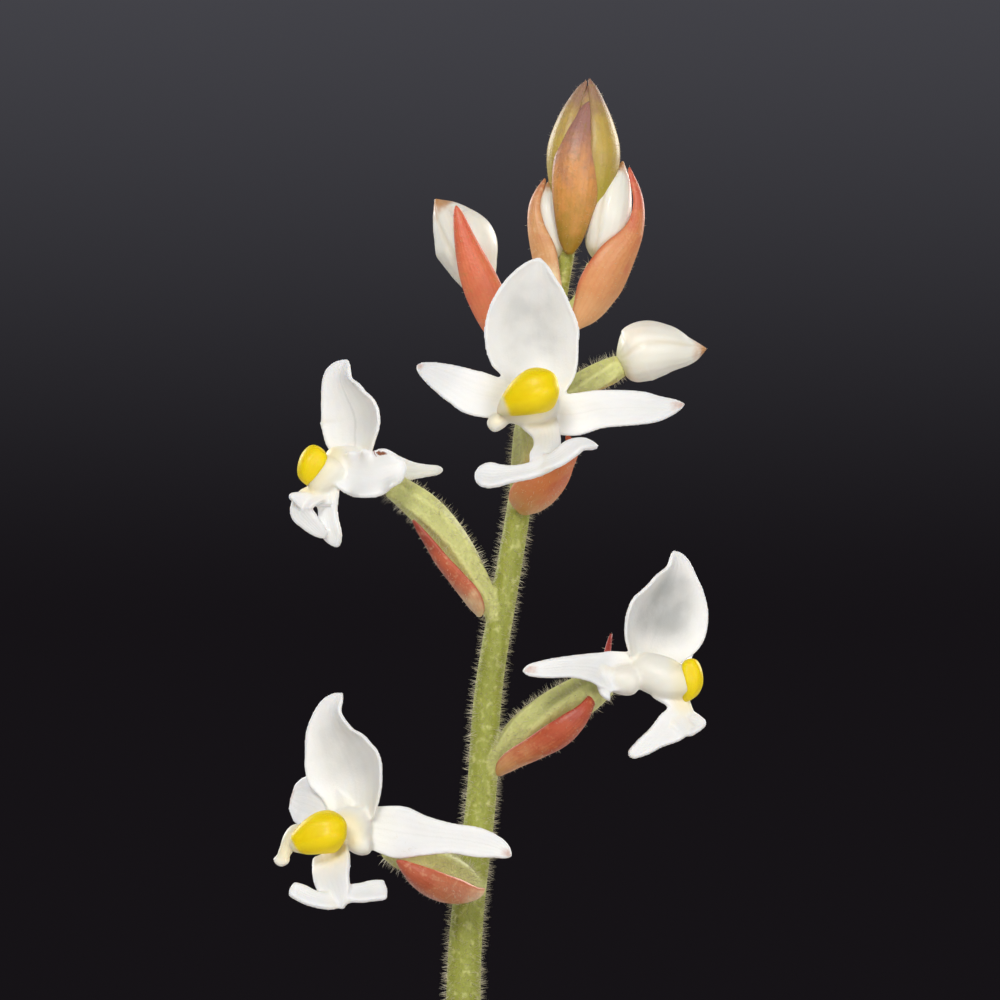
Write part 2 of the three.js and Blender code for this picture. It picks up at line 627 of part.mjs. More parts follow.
function makePot() {
  const { height, wall, floor, collarHeight, collarStep, edge } = POT;
  const collar = height - collarHeight;
  const body = solid(
    lathe([
      [0, 0],
      [potRadius(0) - edge / 2, 0],
      [potRadius(edge), edge / 2],
      [potRadius(collar), collar],
      [potRadius(collar) + collarStep, collar + edge],
      [potRadius(height) + collarStep, height - edge],
      [potRadius(height) + collarStep - edge, height],
      [potRadius(height) - wall + edge, height],
      [potRadius(height - edge) - wall, height - edge],
      [potRadius(floor + edge) - wall, floor + edge],
      [potRadius(floor) - wall - edge, floor],
      [0, floor],
    ]),
  );
  const drains = [];
  for (let i = 0; i < POT.drains; i++) {
    const turn = (2 * Math.PI * (i + 0.25)) / POT.drains;
    const [x, y] = [POT.drainRing * Math.cos(turn), POT.drainRing * Math.sin(turn)];
    drains.push(rod({ rib: [[x, y, -1], [x, y, floor + 1]], r: POT.drainRadius }, "drain"));
  }
  piece("clay_pot", less(body, drains), MATERIAL.clay);
}

// The mix fills the pot to its level, with a lumpy top and a plain hole for each stem.
function makeMix() {
  const inner = (z) => potRadius(z) - POT.wall - GAP;
  const low = POT.floor + GAP;
  const profile = [[0, low], [inner(low) - POT.edge, low], [inner(low + POT.edge), low + POT.edge]];
  for (let ring = MIX.rings; ring >= 0; ring--) {
    profile.push([(inner(MIX.level) * ring) / MIX.rings, MIX.level]);
  }
  const geometry = lathe(profile);
  const places = geometry.attributes.position;
  for (let i = 0; i < places.count; i++) {
    const [x, y, z] = [places.getX(i), places.getY(i), places.getZ(i)];
    if (z < MIX.level - 1) continue;
    const inward = Math.min(1, (inner(MIX.level) - Math.hypot(x, y)) / MIX.rim);
    const [a, b, c] = MIX.lumps;
    const lumps = Math.sin(a * x + 1) * Math.cos(b * y) + 0.6 * Math.sin(c * (x - y));
    places.setZ(i, z + MIX.relief * lumps * inward);
  }
  const holes = Object.values(STEMS).map((stem) => stemBody(stem, GAP));
  piece("potting_mix", less(solid(geometry), holes), MATERIAL.mix);
}

// Where a line with a radius passes a height, found by halving.
function placeAt({ line, radius }, z) {
  let [low, high] = [0, 1];
  for (let i = 0; i < 24; i++) {
    const middle = (low + high) / 2;
    if (along(line, middle)[2] < z) low = middle;
    else high = middle;
  }
  const [x, y] = along(line, low);
  return { x, y, radius: along(radius, low) };
}

const compass = (degrees) => [Math.cos((degrees * Math.PI) / 180), Math.sin((degrees * Math.PI) / 180)];
const stemBody = (stem, grow = 0) => rod({ rib: stem.line, r: STEM_RADIUS }, "stem", grow);

// A leaf clasps its stem with a short sheath, narrows to a stalk and widens to an arched, pointed blade.
function leafShape(stem, leaf) {
  const node = { line: stem.line, radius: STEM_RADIUS };
  const [cos, sin] = compass(leaf.turn);
  const clear = placeAt(node, leaf.z).radius + GAP + LEAF_THICK / 2;
  const rib = LEAF.reach.map((share, i) => {
    const z = i === 0 ? leaf.z - LEAF.sheath : leaf.z;
    const { x, y } = placeAt(node, z);
    const out = clear + share * leaf.length;
    const sink = leaf.droop * Math.max(0, share - LEAF.droopFrom) ** 1.5;
    return [x + out * cos, y + out * sin, z + leaf.rise * LEAF.lift[i] - sink];
  });
  const half = LEAF.half.map((share) => share * leaf.length || LEAF.wrap * clear);
  const cup = LEAF.cup.map((angle) => angle || LEAF.wrap);
  const face = [-0.5 * cos, -0.5 * sin, 0.85];
  return { split: "leaf", rib, half, cup, face, wave: LEAF.wave, waves: LEAF.waves };
}

function makeFoliage() {
  for (const [place, stem] of Object.entries(STEMS)) {
    const socket = place === "main" ? [stalkLine(GAP)] : [];
    piece(`stem_${place}`, less(stemBody(stem), socket), MATERIAL.stem);
    stem.leaves.forEach((leaf, i) => {
      const cut = less(blade(leafShape(stem, leaf), LEAF_THICK), [stemBody(stem, GAP)]);
      piece(`leaf_${place}_${i + 1}`, cut, MATERIAL.leaf);
    });
  }
}

const stalkLine = (grow = 0) => rod({ rib: STALK.line, r: STALK.radius }, "stalk", grow);

// The stalk and the ovaries that grow from it are one body.
function stalkBody(grow = 0) {
  const growths = [...Object.values(FLOWERS), ...Object.values(BUDS)];
  return join([stalkLine(grow), ...growths.map(({ ovary }) => rod(ovary, "ovary", grow))]);
}

function sheathShape({ z, length, turn }) {
  const [cos, sin] = compass(turn);
  const rib = [0, 0.25, 0.5, 0.75, 1].map((share) => {
    const spot = placeAt(STALK, z + share * length);
    const out = spot.radius + GAP + BRACT_THICK / 2 + SHEATH.lean * share ** 3;
    return [spot.x + out * cos, spot.y + out * sin, z + share * length];
  });
  return { split: "sheath", rib, half: SHEATH.half, cup: SHEATH.cup, face: [-cos, -sin, 0] };
}

const capBody = (flower, grow = 0) => rod(flower.cap, "cap", grow).translate(flower.at);
const budBody = (growth, grow = 0) => rod(growth.bud, "bud", grow);
const bractBody = (shape, grow = 0) => blade({ split: "bract", ...shape }, BRACT_THICK, grow);

function makeSpike() {
  const around = stalkBody(GAP);
  piece("flower_stalk", stalkBody(), MATERIAL.stalk);
  SHEATHS.forEach((sheath, i) => {
    const cut = less(blade(sheathShape(sheath), BRACT_THICK), [around]);
    piece(`stalk_sheath_${i + 1}`, cut, MATERIAL.bract);
  });
  for (const [place, flower] of Object.entries(FLOWERS)) {
    const bodies = flower.bodies.map((body) => rod(body, "body"));
    const petals = flower.petals.map((petal) => blade(petal, PETAL_THICK));
    const bloom = join([...bodies, ...petals]).translate(flower.at);
    piece(`flower_${place}`, less(bloom, [around, capBody(flower, GAP)]), MATERIAL.petal);
    piece(`anther_cap_${place}`, capBody(flower), MATERIAL.cap);
    piece(`bract_${place}`, less(bractBody(flower.bract), [around]), MATERIAL.bract);
  }
  for (const [place, growth] of Object.entries(BUDS)) {
    piece(`bud_${place}`, less(budBody(growth), [around]), MATERIAL.petal);
    const cut = less(bractBody(growth.bract), [around, budBody(growth, GAP)]);
    piece(`bud_bract_${place}`, cut, MATERIAL.bract);
  }
  makeTip(around);
}

// The tip's bracts make room for the buds beside them and for one another.
function makeTip(around) {
  const tipBud = (grow = 0) => rod(TIP_BUD, "bud", grow);
  const buds = Object.values(BUDS).flatMap((growth) => [budBody(growth, GAP), bractBody(growth.bract, GAP)]);
  piece("tip_bud", less(tipBud(), [around]), MATERIAL.tipBract);
  const laid = [around, tipBud(GAP), ...buds];
  for (const [place, shape] of Object.entries(TIP_BRACTS)) {
    piece(`tip_bract_${place}`, less(bractBody(shape), laid), MATERIAL.tipBract);
    laid.push(bractBody(shape, GAP));
  }
}

makePot();
makeMix();
makeFoliage();
makeSpike();

export default plant;
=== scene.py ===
"""Looks of a potted jewel orchid: clay pot, potting mix, leafy stems and one spike of white flowers.

Sizes are millimetres in the plant's own frame: +Z up, the spike's front faces -Y. Each mesh is made in
millimetres and scaled to metres when it becomes an object.
"""

import logging
import math
from collections.abc import Callable, Iterable
from dataclasses import dataclass, field
from enum import Enum

import bpy
import numpy as np
from mathutils import Matrix, Vector
from mathutils.kdtree import KDTree


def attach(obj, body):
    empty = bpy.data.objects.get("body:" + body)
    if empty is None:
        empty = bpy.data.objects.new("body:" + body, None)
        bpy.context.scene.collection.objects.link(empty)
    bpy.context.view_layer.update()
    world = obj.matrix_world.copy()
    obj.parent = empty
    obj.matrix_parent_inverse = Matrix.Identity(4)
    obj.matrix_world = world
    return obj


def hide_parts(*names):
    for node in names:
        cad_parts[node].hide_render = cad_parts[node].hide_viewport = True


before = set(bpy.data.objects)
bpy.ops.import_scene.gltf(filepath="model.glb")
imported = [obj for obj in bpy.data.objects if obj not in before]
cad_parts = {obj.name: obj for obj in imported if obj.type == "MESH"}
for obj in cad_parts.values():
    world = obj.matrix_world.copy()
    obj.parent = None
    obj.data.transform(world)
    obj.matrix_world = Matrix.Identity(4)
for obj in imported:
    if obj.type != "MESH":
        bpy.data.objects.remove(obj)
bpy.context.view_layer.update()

LOG = logging.getLogger("jewel_orchid")
METRE = 0.001  # of one millimetre
SEED = 7
NEAR = 0.01  # share of a curve over which its direction is taken
HEIGHT_STEPS = 2001  # places at which a line is looked at for a height
NARROWEST = 0.12  # half width of a blade at the least
FLATTEST = 0.001  # bend of a blade at the least
TIP_TAPER = 0.97  # of a blade's squared width, gone at its rounded tip
FOOT_TAPER = 0.8  # of a bract's squared width, gone at its rounded foot
FOOT_SHARE = 0.08  # of a bract's length that its foot takes
THINNING = 0.8  # how far towards its ends a blade keeps its thickness
BRACT_THICK = 0.4
BRACT_EDGE = 0.5  # of its thickness, gone at its edges
THINNEST = 0.1  # radius of a rod at the least, before its ends are rounded
POINTED = 0.01  # and after that
RING_START = (0.2, 1, 0.1)  # direction near which a rod's rings begin
FORTH = 0.55  # how far one turn of smoothing pulls the points in
BACK = 0.57  # and the next one pushes them out
NEAREST = 3  # points that a fused skin takes its marks from
SOFT_ROUNDS = 6  # of smoothing for the mark `soft`
NOISE_MIDDLE = 0.5

Point = tuple[float, float, float]
Colour = tuple[float, float, float]
Faces = list[tuple[int, ...]]
Relief = Callable[[np.ndarray, np.ndarray], np.ndarray]
Span = tuple[float, ...]  # where a change starts and ends, and the numbers before and after it
Depth = tuple[float, float]  # of a relief in millimetres, and its strength
Glow = tuple[float, float, Colour]  # weight, reach in millimetres and tint of light inside the flesh
Coat = tuple[float, float]  # weight and roughness
Grain = tuple[float, float, float]  # width and depth in millimetres, and strength
Socket = bpy.types.NodeSocket
Material = bpy.types.Material
Mesh = bpy.types.Mesh
Object = bpy.types.Object


class Kind(Enum):
    """Kinds of blade: how finely each is split along and across, and how much of its tip is rounded."""

    HOOD = (56, 28, 0.06)
    SEPAL = (56, 20, 0.08)
    CLAW = (28, 16, 0.05)
    LOBE = (36, 18, 0.24)
    BRACT = (60, 28, 0.05)
    SHEATH = (48, 24, 0.05)
    LEAF = (72, 30, 0.02)


@dataclass(frozen=True)
class Rod:
    """A round body: its middle line, and radii spread evenly along it."""

    rib: list[Point]
    radius: list[float]


@dataclass(frozen=True)
class Blade:
    """A thin body: its midrib, half widths spread evenly along it, and its upper face's direction.

    The blade is bent across by `cup` radians at its edges, which ripple by `wave` in `waves` waves.
    """

    kind: Kind
    face: Point
    rib: list[Point]
    half: list[float]
    cup: float | list[float] = 0.0
    wave: float = 0.0
    waves: float = 3.5


@dataclass(frozen=True)
class FlowerPlan:
    """An open flower. Petals, flesh and cap count from its heart, ovary and bract from the plant's origin."""

    heart: Point
    tone: "BractTone"
    cap_pale: Point  # direction in which the cap turns pale
    shade: float  # how much painted shade greys the hollow middle of the hood
    crease_shade: float  # how much painted shade darkens the crease along the hood's midrib
    ovary: Rod
    flesh: list[Rod]
    petals: list[Blade]
    cap: Rod
    bract: Blade
    scar: Point | None = None  # a brown fleck on a sepal


@dataclass(frozen=True)
class BudPlan:
    """A bud with its ovary and bract, all in the plant's own places."""

    tone: "BractTone"
    ovary: Rod
    bud: Rod
    bract: Blade


def linear(red: float, green: float, blue: float) -> Colour:
    """A display colour of 0 to 255 a channel as the linear colour that shaders take."""
    return tuple((c / 255) ** 2.2 for c in (red, green, blue))


def circle(count: int) -> np.ndarray:
    """Evenly spaced angles round a circle."""
    return np.linspace(0, 2 * np.pi, count, endpoint=False)


def along(stations: Iterable, shares: np.ndarray) -> np.ndarray:
    """Values on a smooth curve through evenly spaced stations.

    Args:
        stations: numbers or points, at least two.
        shares: places along them, from 0 to 1.

    Returns:
        One value or point for each share.
    """
    table = np.asarray(stations, float)
    flat = table.ndim == 1
    table = table[:, None] if flat else table
    last = len(table) - 1
    place = np.clip(np.asarray(shares, float), 0, 1) * last
    start = np.minimum(place.astype(int), last - 1)
    part = (place - start)[:, None]
    padded = np.vstack([2 * table[0] - table[1], table, 2 * table[-1] - table[-2]])
    a, b, c, d = (padded[start + k] for k in range(4))
    cubic = 2 * a - 5 * b + 4 * c - d + part * (3 * b - a - 3 * c + d)
    values = b + 0.5 * part * (c - a + part * cubic)
    return values[:, 0] if flat else values


def passing(line: Iterable, z: float) -> tuple[float, float, float]:
    """Where a line passes a height.

    Args:
        line: its stations.
        z: the height.

    Returns:
        X, Y and the share along the line.
    """
    shares = np.linspace(0, 1, HEIGHT_STEPS)
    points = along(line, shares)
    index = int(np.argmin(np.abs(points[:, 2] - z)))
    return float(points[index, 0]), float(points[index, 1]), float(shares[index])


def unit(vectors: np.ndarray) -> np.ndarray:
    """The vectors at length one."""
    return vectors / np.maximum(np.linalg.norm(vectors, axis=-1, keepdims=True), 1e-12)


def frames(rib: Iterable, shares: np.ndarray, face: Point) -> tuple[np.ndarray, ...]:
    """Axes that travel along a curve.

    Args:
        rib: the curve's stations.
        shares: places along it.
        face: direction that the normals keep to.

    Returns:
        Middles, directions, normals and sideways vectors.
    """
    ahead = along(rib, np.minimum(shares + NEAR, 1))
    direction = unit(ahead - along(rib, np.maximum(shares - NEAR, 0)))
    normal = np.array(face, float) - direction * (direction @ np.array(face, float))[:, None]
    normal = unit(normal)
    return along(rib, shares), direction, normal, np.cross(normal, direction)


def smooth_step(low: float, high: float, value: np.ndarray) -> np.ndarray:
    """0 below `low`, 1 above `high` and a smooth rise between them."""
    part = np.clip((value - low) / (high - low), 0, 1)
    return part * part * (3 - 2 * part)


@dataclass
class Form:
    """A mesh in the making: points in millimetres, faces and marks, which are one number a point."""

    points: np.ndarray
    faces: Faces
    marks: dict[str, np.ndarray] = field(default_factory=dict)

    def moved(self, offset: Point) -> "Form":
        """The form at another place."""
        return Form(self.points + np.array(offset, float), self.faces, self.marks)

    def marked(self, **marks: float | np.ndarray) -> "Form":
        """The form with further marks, each a number for all points or one for each."""
        full = {name: np.broadcast_to(value, len(self.points)) for name, value in marks.items()}
        return Form(self.points, self.faces, {**self.marks, **full})

    @staticmethod
    def joined(forms: list["Form"]) -> "Form":
        """Puts several forms into one.

        Args:
            forms: the forms.

        Returns:
            One form with every mark of any of them.
        """
        names = {name for form in forms for name in form.marks}
        start = 0
        faces = []
        for form in forms:
            faces += [tuple(corner + start for corner in face) for face in form.faces]
            start += len(form.points)
        marks = {
            name: np.concatenate([form.marks.get(name, np.zeros(len(form.points))) for form in forms])
            for name in names
        }
        return Form(np.vstack([form.points for form in forms]), faces, marks)

    def mesh(self, name: str, scale: float = 1.0) -> Mesh:
        """Makes a smooth-shaded Blender mesh, with the marks as point attributes.

        Args:
            name: the mesh's name.
            scale: factor on the points.

        Returns:
            The mesh.
        """
        mesh = bpy.data.meshes.new(name)
        mesh.from_pydata((self.points * scale).tolist(), [], self.faces)
        for mark, values in self.marks.items():
            layer = mesh.attributes.new(mark, "FLOAT", "POINT")
            layer.data.foreach_set("value", np.asarray(values, np.float32))
        mesh.polygons.foreach_set("use_smooth", [True] * len(mesh.polygons))
        mesh.update()
        return mesh


def blade(shape: Blade, thick: float, thin_edge: float = 0.0) -> Form:
    """A closed blade.

    Args:
        shape: the blade's lines.
        thick: its thickness in the middle.
        thin_edge: the share of the thickness that is gone at the edges.

    Returns:
        A form with the marks `length` (0 to 1 along), `across` (-1 to 1), `upper` and `half`.
    """
    steps, splits, rounding = shape.kind.value
    s = np.linspace(0, 1, steps + 1)
    v = np.linspace(-1, 1, splits + 1)
    middle, _, normal, side = frames(shape.rib, s, shape.face)
    half = np.maximum(along(shape.half, s), NARROWEST)
    past = np.clip((s - 1 + rounding) / rounding, 0, 1)
    half = half * np.sqrt(1 - TIP_TAPER * past**2)
    if shape.kind is Kind.BRACT:
        half = half * np.sqrt(1 - FOOT_TAPER * np.clip(1 - s / FOOT_SHARE, 0, 1) ** 2)
    cup = along(shape.cup, s) if isinstance(shape.cup, list) else np.full(len(s), shape.cup)
    bend = (np.maximum(cup, FLATTEST) / half)[:, None]
    angle = bend * half[:, None] * v
    ripple = shape.wave * np.sin(2 * np.pi * shape.waves * s)[:, None] * np.abs(v) ** 3
    rise = (1 - np.cos(angle)) / bend + ripple
    points = middle[:, None] + side[:, None] * (np.sin(angle) / bend)[..., None]
    points = points + normal[:, None] * rise[..., None]
    out = normal[:, None] * np.cos(angle)[..., None] - side[:, None] * np.sin(angle)[..., None]
    ends = 1 - thin_edge * smooth_step(THINNING, 1, np.abs(2 * s - 1))[:, None]
    depth = 0.5 * thick * ends * (1 - thin_edge * np.abs(v) ** 4)
    top = (points + out * depth[..., None]).reshape(-1, 3)
    low = (points - out * depth[..., None]).reshape(-1, 3)
    count = len(top)
    marks = {
        "length": np.tile(np.repeat(s, splits + 1), 2),
        "across": np.tile(v, 2 * (steps + 1)),
        "half": np.tile(np.repeat(half, splits + 1), 2),
        "upper": np.concatenate([np.ones(count), np.zeros(count)]),
    }
    return Form(np.vstack([top, low]), blade_faces(steps, splits, count), marks)


def blade_faces(steps: int, splits: int, under: int) -> Faces:
    """Faces of a blade's upper side, under side and edges.

    Args:
        steps: faces along it.
        splits: faces across it.
        under: how far a point of the under side is from the one above it in the list.

    Returns:
        The faces.
    """
    row = splits + 1
    faces = []
    for i in range(steps):
        for j in range(splits):
            a = i * row + j
            b = a + under
            faces.append((a, a + row, a + row + 1, a + 1))
            faces.append((b, b + 1, b + row + 1, b + row))
        left = i * row
        right = left + splits
        faces.append((left, left + under, left + row + under, left + row))
        faces.append((right, right + row, right + row + under, right + under))
    for j in range(splits):
        end = steps * row + j
        faces.append((j, j + 1, j + 1 + under, j + under))
        faces.append((end, end + under, end + 1 + under, end + 1))
    return faces


def bract_form(shape: Blade) -> Form:
    """A bract of the spike."""
    return blade(shape, BRACT_THICK, BRACT_EDGE)


def rod(shape: Rod, steps: int, sides: int, relief: Relief | None = None, rounded: float = 0.0) -> Form:
    """A closed round body.

    Args:
        shape: its middle line and radii.
        steps: rings along it.
        sides: points on a ring.
        relief: factor on the radius, from the share along and the angle round.
        rounded: share of the length over which each end is rounded off.

    Returns:
        A form with the marks `length`, `round` and `relief`.
    """
    s = np.linspace(0, 1, steps + 1)
    if rounded:
        s = 0.5 - 0.5 * np.cos(np.pi * s)
    middle, _, normal, side = frames(shape.rib, s, RING_START)
    radius = np.maximum(along(shape.radius, s), THINNEST)
    if rounded:
        inward = np.clip(np.minimum(s, 1 - s) / rounded, 0, 1)
        radius = np.maximum(radius * np.sqrt(1 - (1 - inward) ** 2), POINTED)
    turn = circle(sides)
    share, angle = np.meshgrid(s, turn, indexing="ij")
    factor = relief(share, angle) if relief else np.ones_like(share)
    size = (radius[:, None] * factor)[..., None]
    spokes = side[:, None] * np.cos(turn)[None, :, None] + normal[:, None] * np.sin(turn)[None, :, None]
    points = (middle[:, None] + spokes * size).reshape(-1, 3)
    faces = []
    for i in range(steps):
        for j in range(sides):
            a = i * sides + j
            b = i * sides + (j + 1) % sides
            faces.append((a, b, b + sides, a + sides))
    faces.append(tuple(reversed(range(sides))))
    faces.append(tuple(range(steps * sides, (steps + 1) * sides)))
    marks = {"length": share.ravel(), "round": angle.ravel(), "relief": factor.ravel() - 1}
    return Form(points, faces, marks)


def linked(name: str, data: bpy.types.ID) -> Object:
    """A new object in the scene for a mesh, light or camera."""
    thing = bpy.data.objects.new(name, data)
    bpy.context.scene.collection.objects.link(thing)
    return thing


def evaluated(thing: Object) -> Mesh:
    """What the object's modifiers make of it, as a plain mesh. The object itself is removed."""
    graph = bpy.context.evaluated_depsgraph_get()
    mesh = bpy.data.meshes.new_from_object(thing.evaluated_get(graph))
    bpy.data.objects.remove(thing)
    return mesh


def relaxed(points: np.ndarray, edges: np.ndarray, rounds: int, back: float = BACK) -> np.ndarray:
    """Points smoothed along their edges.

    Args:
        points: the points.
        edges: the two ends of each edge.
        rounds: turns forth and back.
        back: how far every other turn goes back, so that the whole keeps its size.

    Returns:
        The points in their new places.
    """
    ends = np.concatenate([edges[:, 0], edges[:, 1]])
    others = np.concatenate([edges[:, 1], edges[:, 0]])
    count = np.maximum(np.bincount(ends, minlength=len(points)), 1)[:, None]
    for turn in range(2 * rounds):
        near = [np.bincount(ends, points[others, k], len(points)) for k in range(3)]
        pull = np.stack(near, 1) / count - points
        points = points + pull * (FORTH if turn % 2 == 0 else -back)
    return points


def fused(forms: list[Form], voxel: float, rounds: int, softer: int = 0) -> Form:
    """Forms grown together as one soft skin, with the marks of what lies nearest.

    Args:
        forms: closed forms that overlap where they join.
        voxel: size of the new skin's faces.
        rounds: how often it is smoothed.
        softer: how often it is smoothed again where the mark `soft` is 1.

    Returns:
        One closed form.
    """
    whole = Form.joined(forms)
    thing = linked("fusing", whole.mesh("fusing"))
    remesh = thing.modifiers.new("fuse", "REMESH")
    remesh.mode = "VOXEL"
    remesh.voxel_size = voxel
    mesh = evaluated(thing)
    points = np.empty(len(mesh.vertices) * 3)
    mesh.vertices.foreach_get("co", points)
    points = points.reshape(-1, 3)
    edges = np.empty(len(mesh.edges) * 2, int)
    mesh.edges.foreach_get("vertices", edges)
    faces = [tuple(face.vertices) for face in mesh.polygons]
    bpy.data.meshes.remove(mesh)
    tree = KDTree(len(whole.points))
    for index, place in enumerate(whole.points):
        tree.insert(place, index)
    tree.balance()
    nearest = np.array([[hit[1] for hit in tree.find_n(place, NEAREST)] for place in points])
    marks = {name: values[nearest].mean(1) for name, values in whole.marks.items()}
    edges = edges.reshape(-1, 2)
    points = relaxed(points, edges, rounds)
    if softer:
        share = relaxed(marks["soft"][:, None] * np.ones(3), edges, SOFT_ROUNDS)[:, :1].clip(0, 1)
        points = points + share * (relaxed(points, edges, softer, 0.0) - points)
    return Form(points, faces, marks)


def place(name: str, mesh: Mesh, material: Material, slot: str, node: str | None = None) -> Object:
    """Adds a finished piece to the plant.

    Args:
        name: the piece's name.
        mesh: its shape in metres.
        material: its finish.
        slot: the material slot; not used.
        node: the CAD node that it stands for.

    Returns:
        The object.
    """
    mesh.materials.clear()
    mesh.materials.append(material)
    piece = linked(name, mesh)
    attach(piece, "root")
    if node:
        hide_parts(node)
    LOG.info("%s: %d faces", name, len(mesh.polygons))
    return piece


def show(name: str, form: Form, material: Material, slot: str, node: str | None = None) -> Object:
    """Adds a form in millimetres, as `place` does with a mesh in metres."""
    return place(name, form.mesh(name, METRE), material, slot, node)


class Shader:
    """A material's node tree, built in small steps. Every step returns the socket that it makes."""

    def __init__(self, name: str, roughness: float) -> None:
        """Starts a material with a plain skin of that roughness."""
        self.material = bpy.data.materials.new(name)
        self.material.use_nodes = True
        self.tree = self.material.node_tree
        self.skin = self.tree.nodes["Principled BSDF"]
        self.set("Roughness", roughness)
        self.place = self.add("ShaderNodeTexCoord").outputs["Object"]

    def add(self, kind: str, **settings: object) -> bpy.types.Node:
        """A new node with its settings."""
        node = self.tree.nodes.new(kind)
        for name, value in settings.items():
            setattr(node, name, value)
        return node

    def put(self, socket: Socket, value: object) -> None:
        """Links a socket's value, or sets a constant on it."""
        if isinstance(value, Socket):
            self.tree.links.new(value, socket)
        elif socket.type == "RGBA":
            socket.default_value = (*value, 1)
        else:
            socket.default_value = value

    def set(self, name: str, value: object) -> None:
        """Sets or links one of the skin's own sockets."""
        self.put(self.skin.inputs[name], value)

    def mark(self, name: str) -> Socket:
        """One of the mesh's marks."""
        return self.add("ShaderNodeAttribute", attribute_name=name).outputs["Fac"]

    def math(self, operation: str, a: object, b: object = 0.0) -> Socket:
        """A sum of two numbers."""
        node = self.add("ShaderNodeMath", operation=operation)
        self.put(node.inputs[0], a)
        self.put(node.inputs[1], b)
        return node.outputs[0]

    def times(self, a: object, b: object) -> Socket:
        """One number times another."""
        return self.math("MULTIPLY", a, b)

    def fade(self, value: object, start: float, end: float, low: float = 0.0, high: float = 1.0) -> Socket:
        """A smooth change from one number to another.

        Args:
            value: what it goes by.
            start: the value at which it starts.
            end: the value at which it ends.
            low: the number before it.
            high: the number after it.

        Returns:
            The changing number.
        """
        node = self.add("ShaderNodeMapRange", interpolation_type="SMOOTHSTEP")
        for socket, number in zip(node.inputs[:5], (value, start, end, low, high)):
            self.put(socket, number)
        return node.outputs[0]

    def mix(self, share: object, first: object, second: object) -> Socket:
        """Two colours mixed by a share."""
        node = self.add("ShaderNodeMix", data_type="RGBA")
        for index, value in {0: share, 6: first, 7: second}.items():
            self.put(node.inputs[index], value)
        return node.outputs[2]

    def stretched(self, scale: Point) -> Socket:
        """Object coordinates scaled along each axis."""
        node = self.add("ShaderNodeMapping")
        node.inputs["Scale"].default_value = scale
        self.put(node.inputs["Vector"], self.place)
        return node.outputs[0]

    def spread(self, node: bpy.types.Node, size: float, where: Socket | None) -> None:
        """Sets a pattern's size in millimetres, or its scale in other coordinates."""
        self.put(node.inputs["Vector"], self.place if where is None else where)
        node.inputs["Scale"].default_value = 1 / (size * METRE) if where is None else size

    def noise(self, size: float, detail: float = 3.0, where: Socket | None = None) -> Socket:
        """Soft noise whose lumps are `size` millimetres wide."""
        node = self.add("ShaderNodeTexNoise")
        self.spread(node, size, where)
        node.inputs["Detail"].default_value = detail
        return node.outputs["Fac"]

    def cells(self, size: float, feature: str = "F1", where: Socket | None = None) -> Socket:
        """Distance within cells that are `size` millimetres wide."""
        node = self.add("ShaderNodeTexVoronoi", feature=feature)
        self.spread(node, size, where)
        return node.outputs["Distance"]

    def stripes(self, value: object, count: float) -> Socket:
        """0 to 1 and back, `count` times over a unit of the value."""
        wave = self.math("SINE", self.times(value, count * 2 * math.pi))
        return self.fade(wave, -1, 1)

    def bump(self, height: object, depth: float, strength: float = 1.0) -> None:
        """Adds relief to the skin, over any that it has.

        Args:
            height: the relief, from 0 to 1.
            depth: how deep that is, in millimetres.
            strength: how much of it shows.
        """
        node = self.add("ShaderNodeBump")
        node.inputs["Distance"].default_value = depth * METRE
        node.inputs["Strength"].default_value = strength
        self.put(node.inputs["Height"], height)
        normal = self.skin.inputs["Normal"]
        if normal.links:
            self.put(node.inputs["Normal"], normal.links[0].from_socket)
        self.put(normal, node.outputs[0])

    def grained(self, size: float, depth: float, strength: float) -> None:
        """A fine relief of cells."""
        self.bump(self.cells(size), depth, strength)

    def coat(self, weight: float, roughness: float) -> None:
        """A clear coat over the skin."""
        self.set("Coat Weight", weight)
        self.set("Coat Roughness", roughness)

    def glow(self, weight: float, radius: float, tint: Colour) -> None:
        """Light that enters the flesh and leaves it `radius` millimetres further on."""
        self.set("Subsurface Weight", weight)
        self.set("Subsurface Radius", tint)
        self.set("Subsurface Scale", radius * METRE)


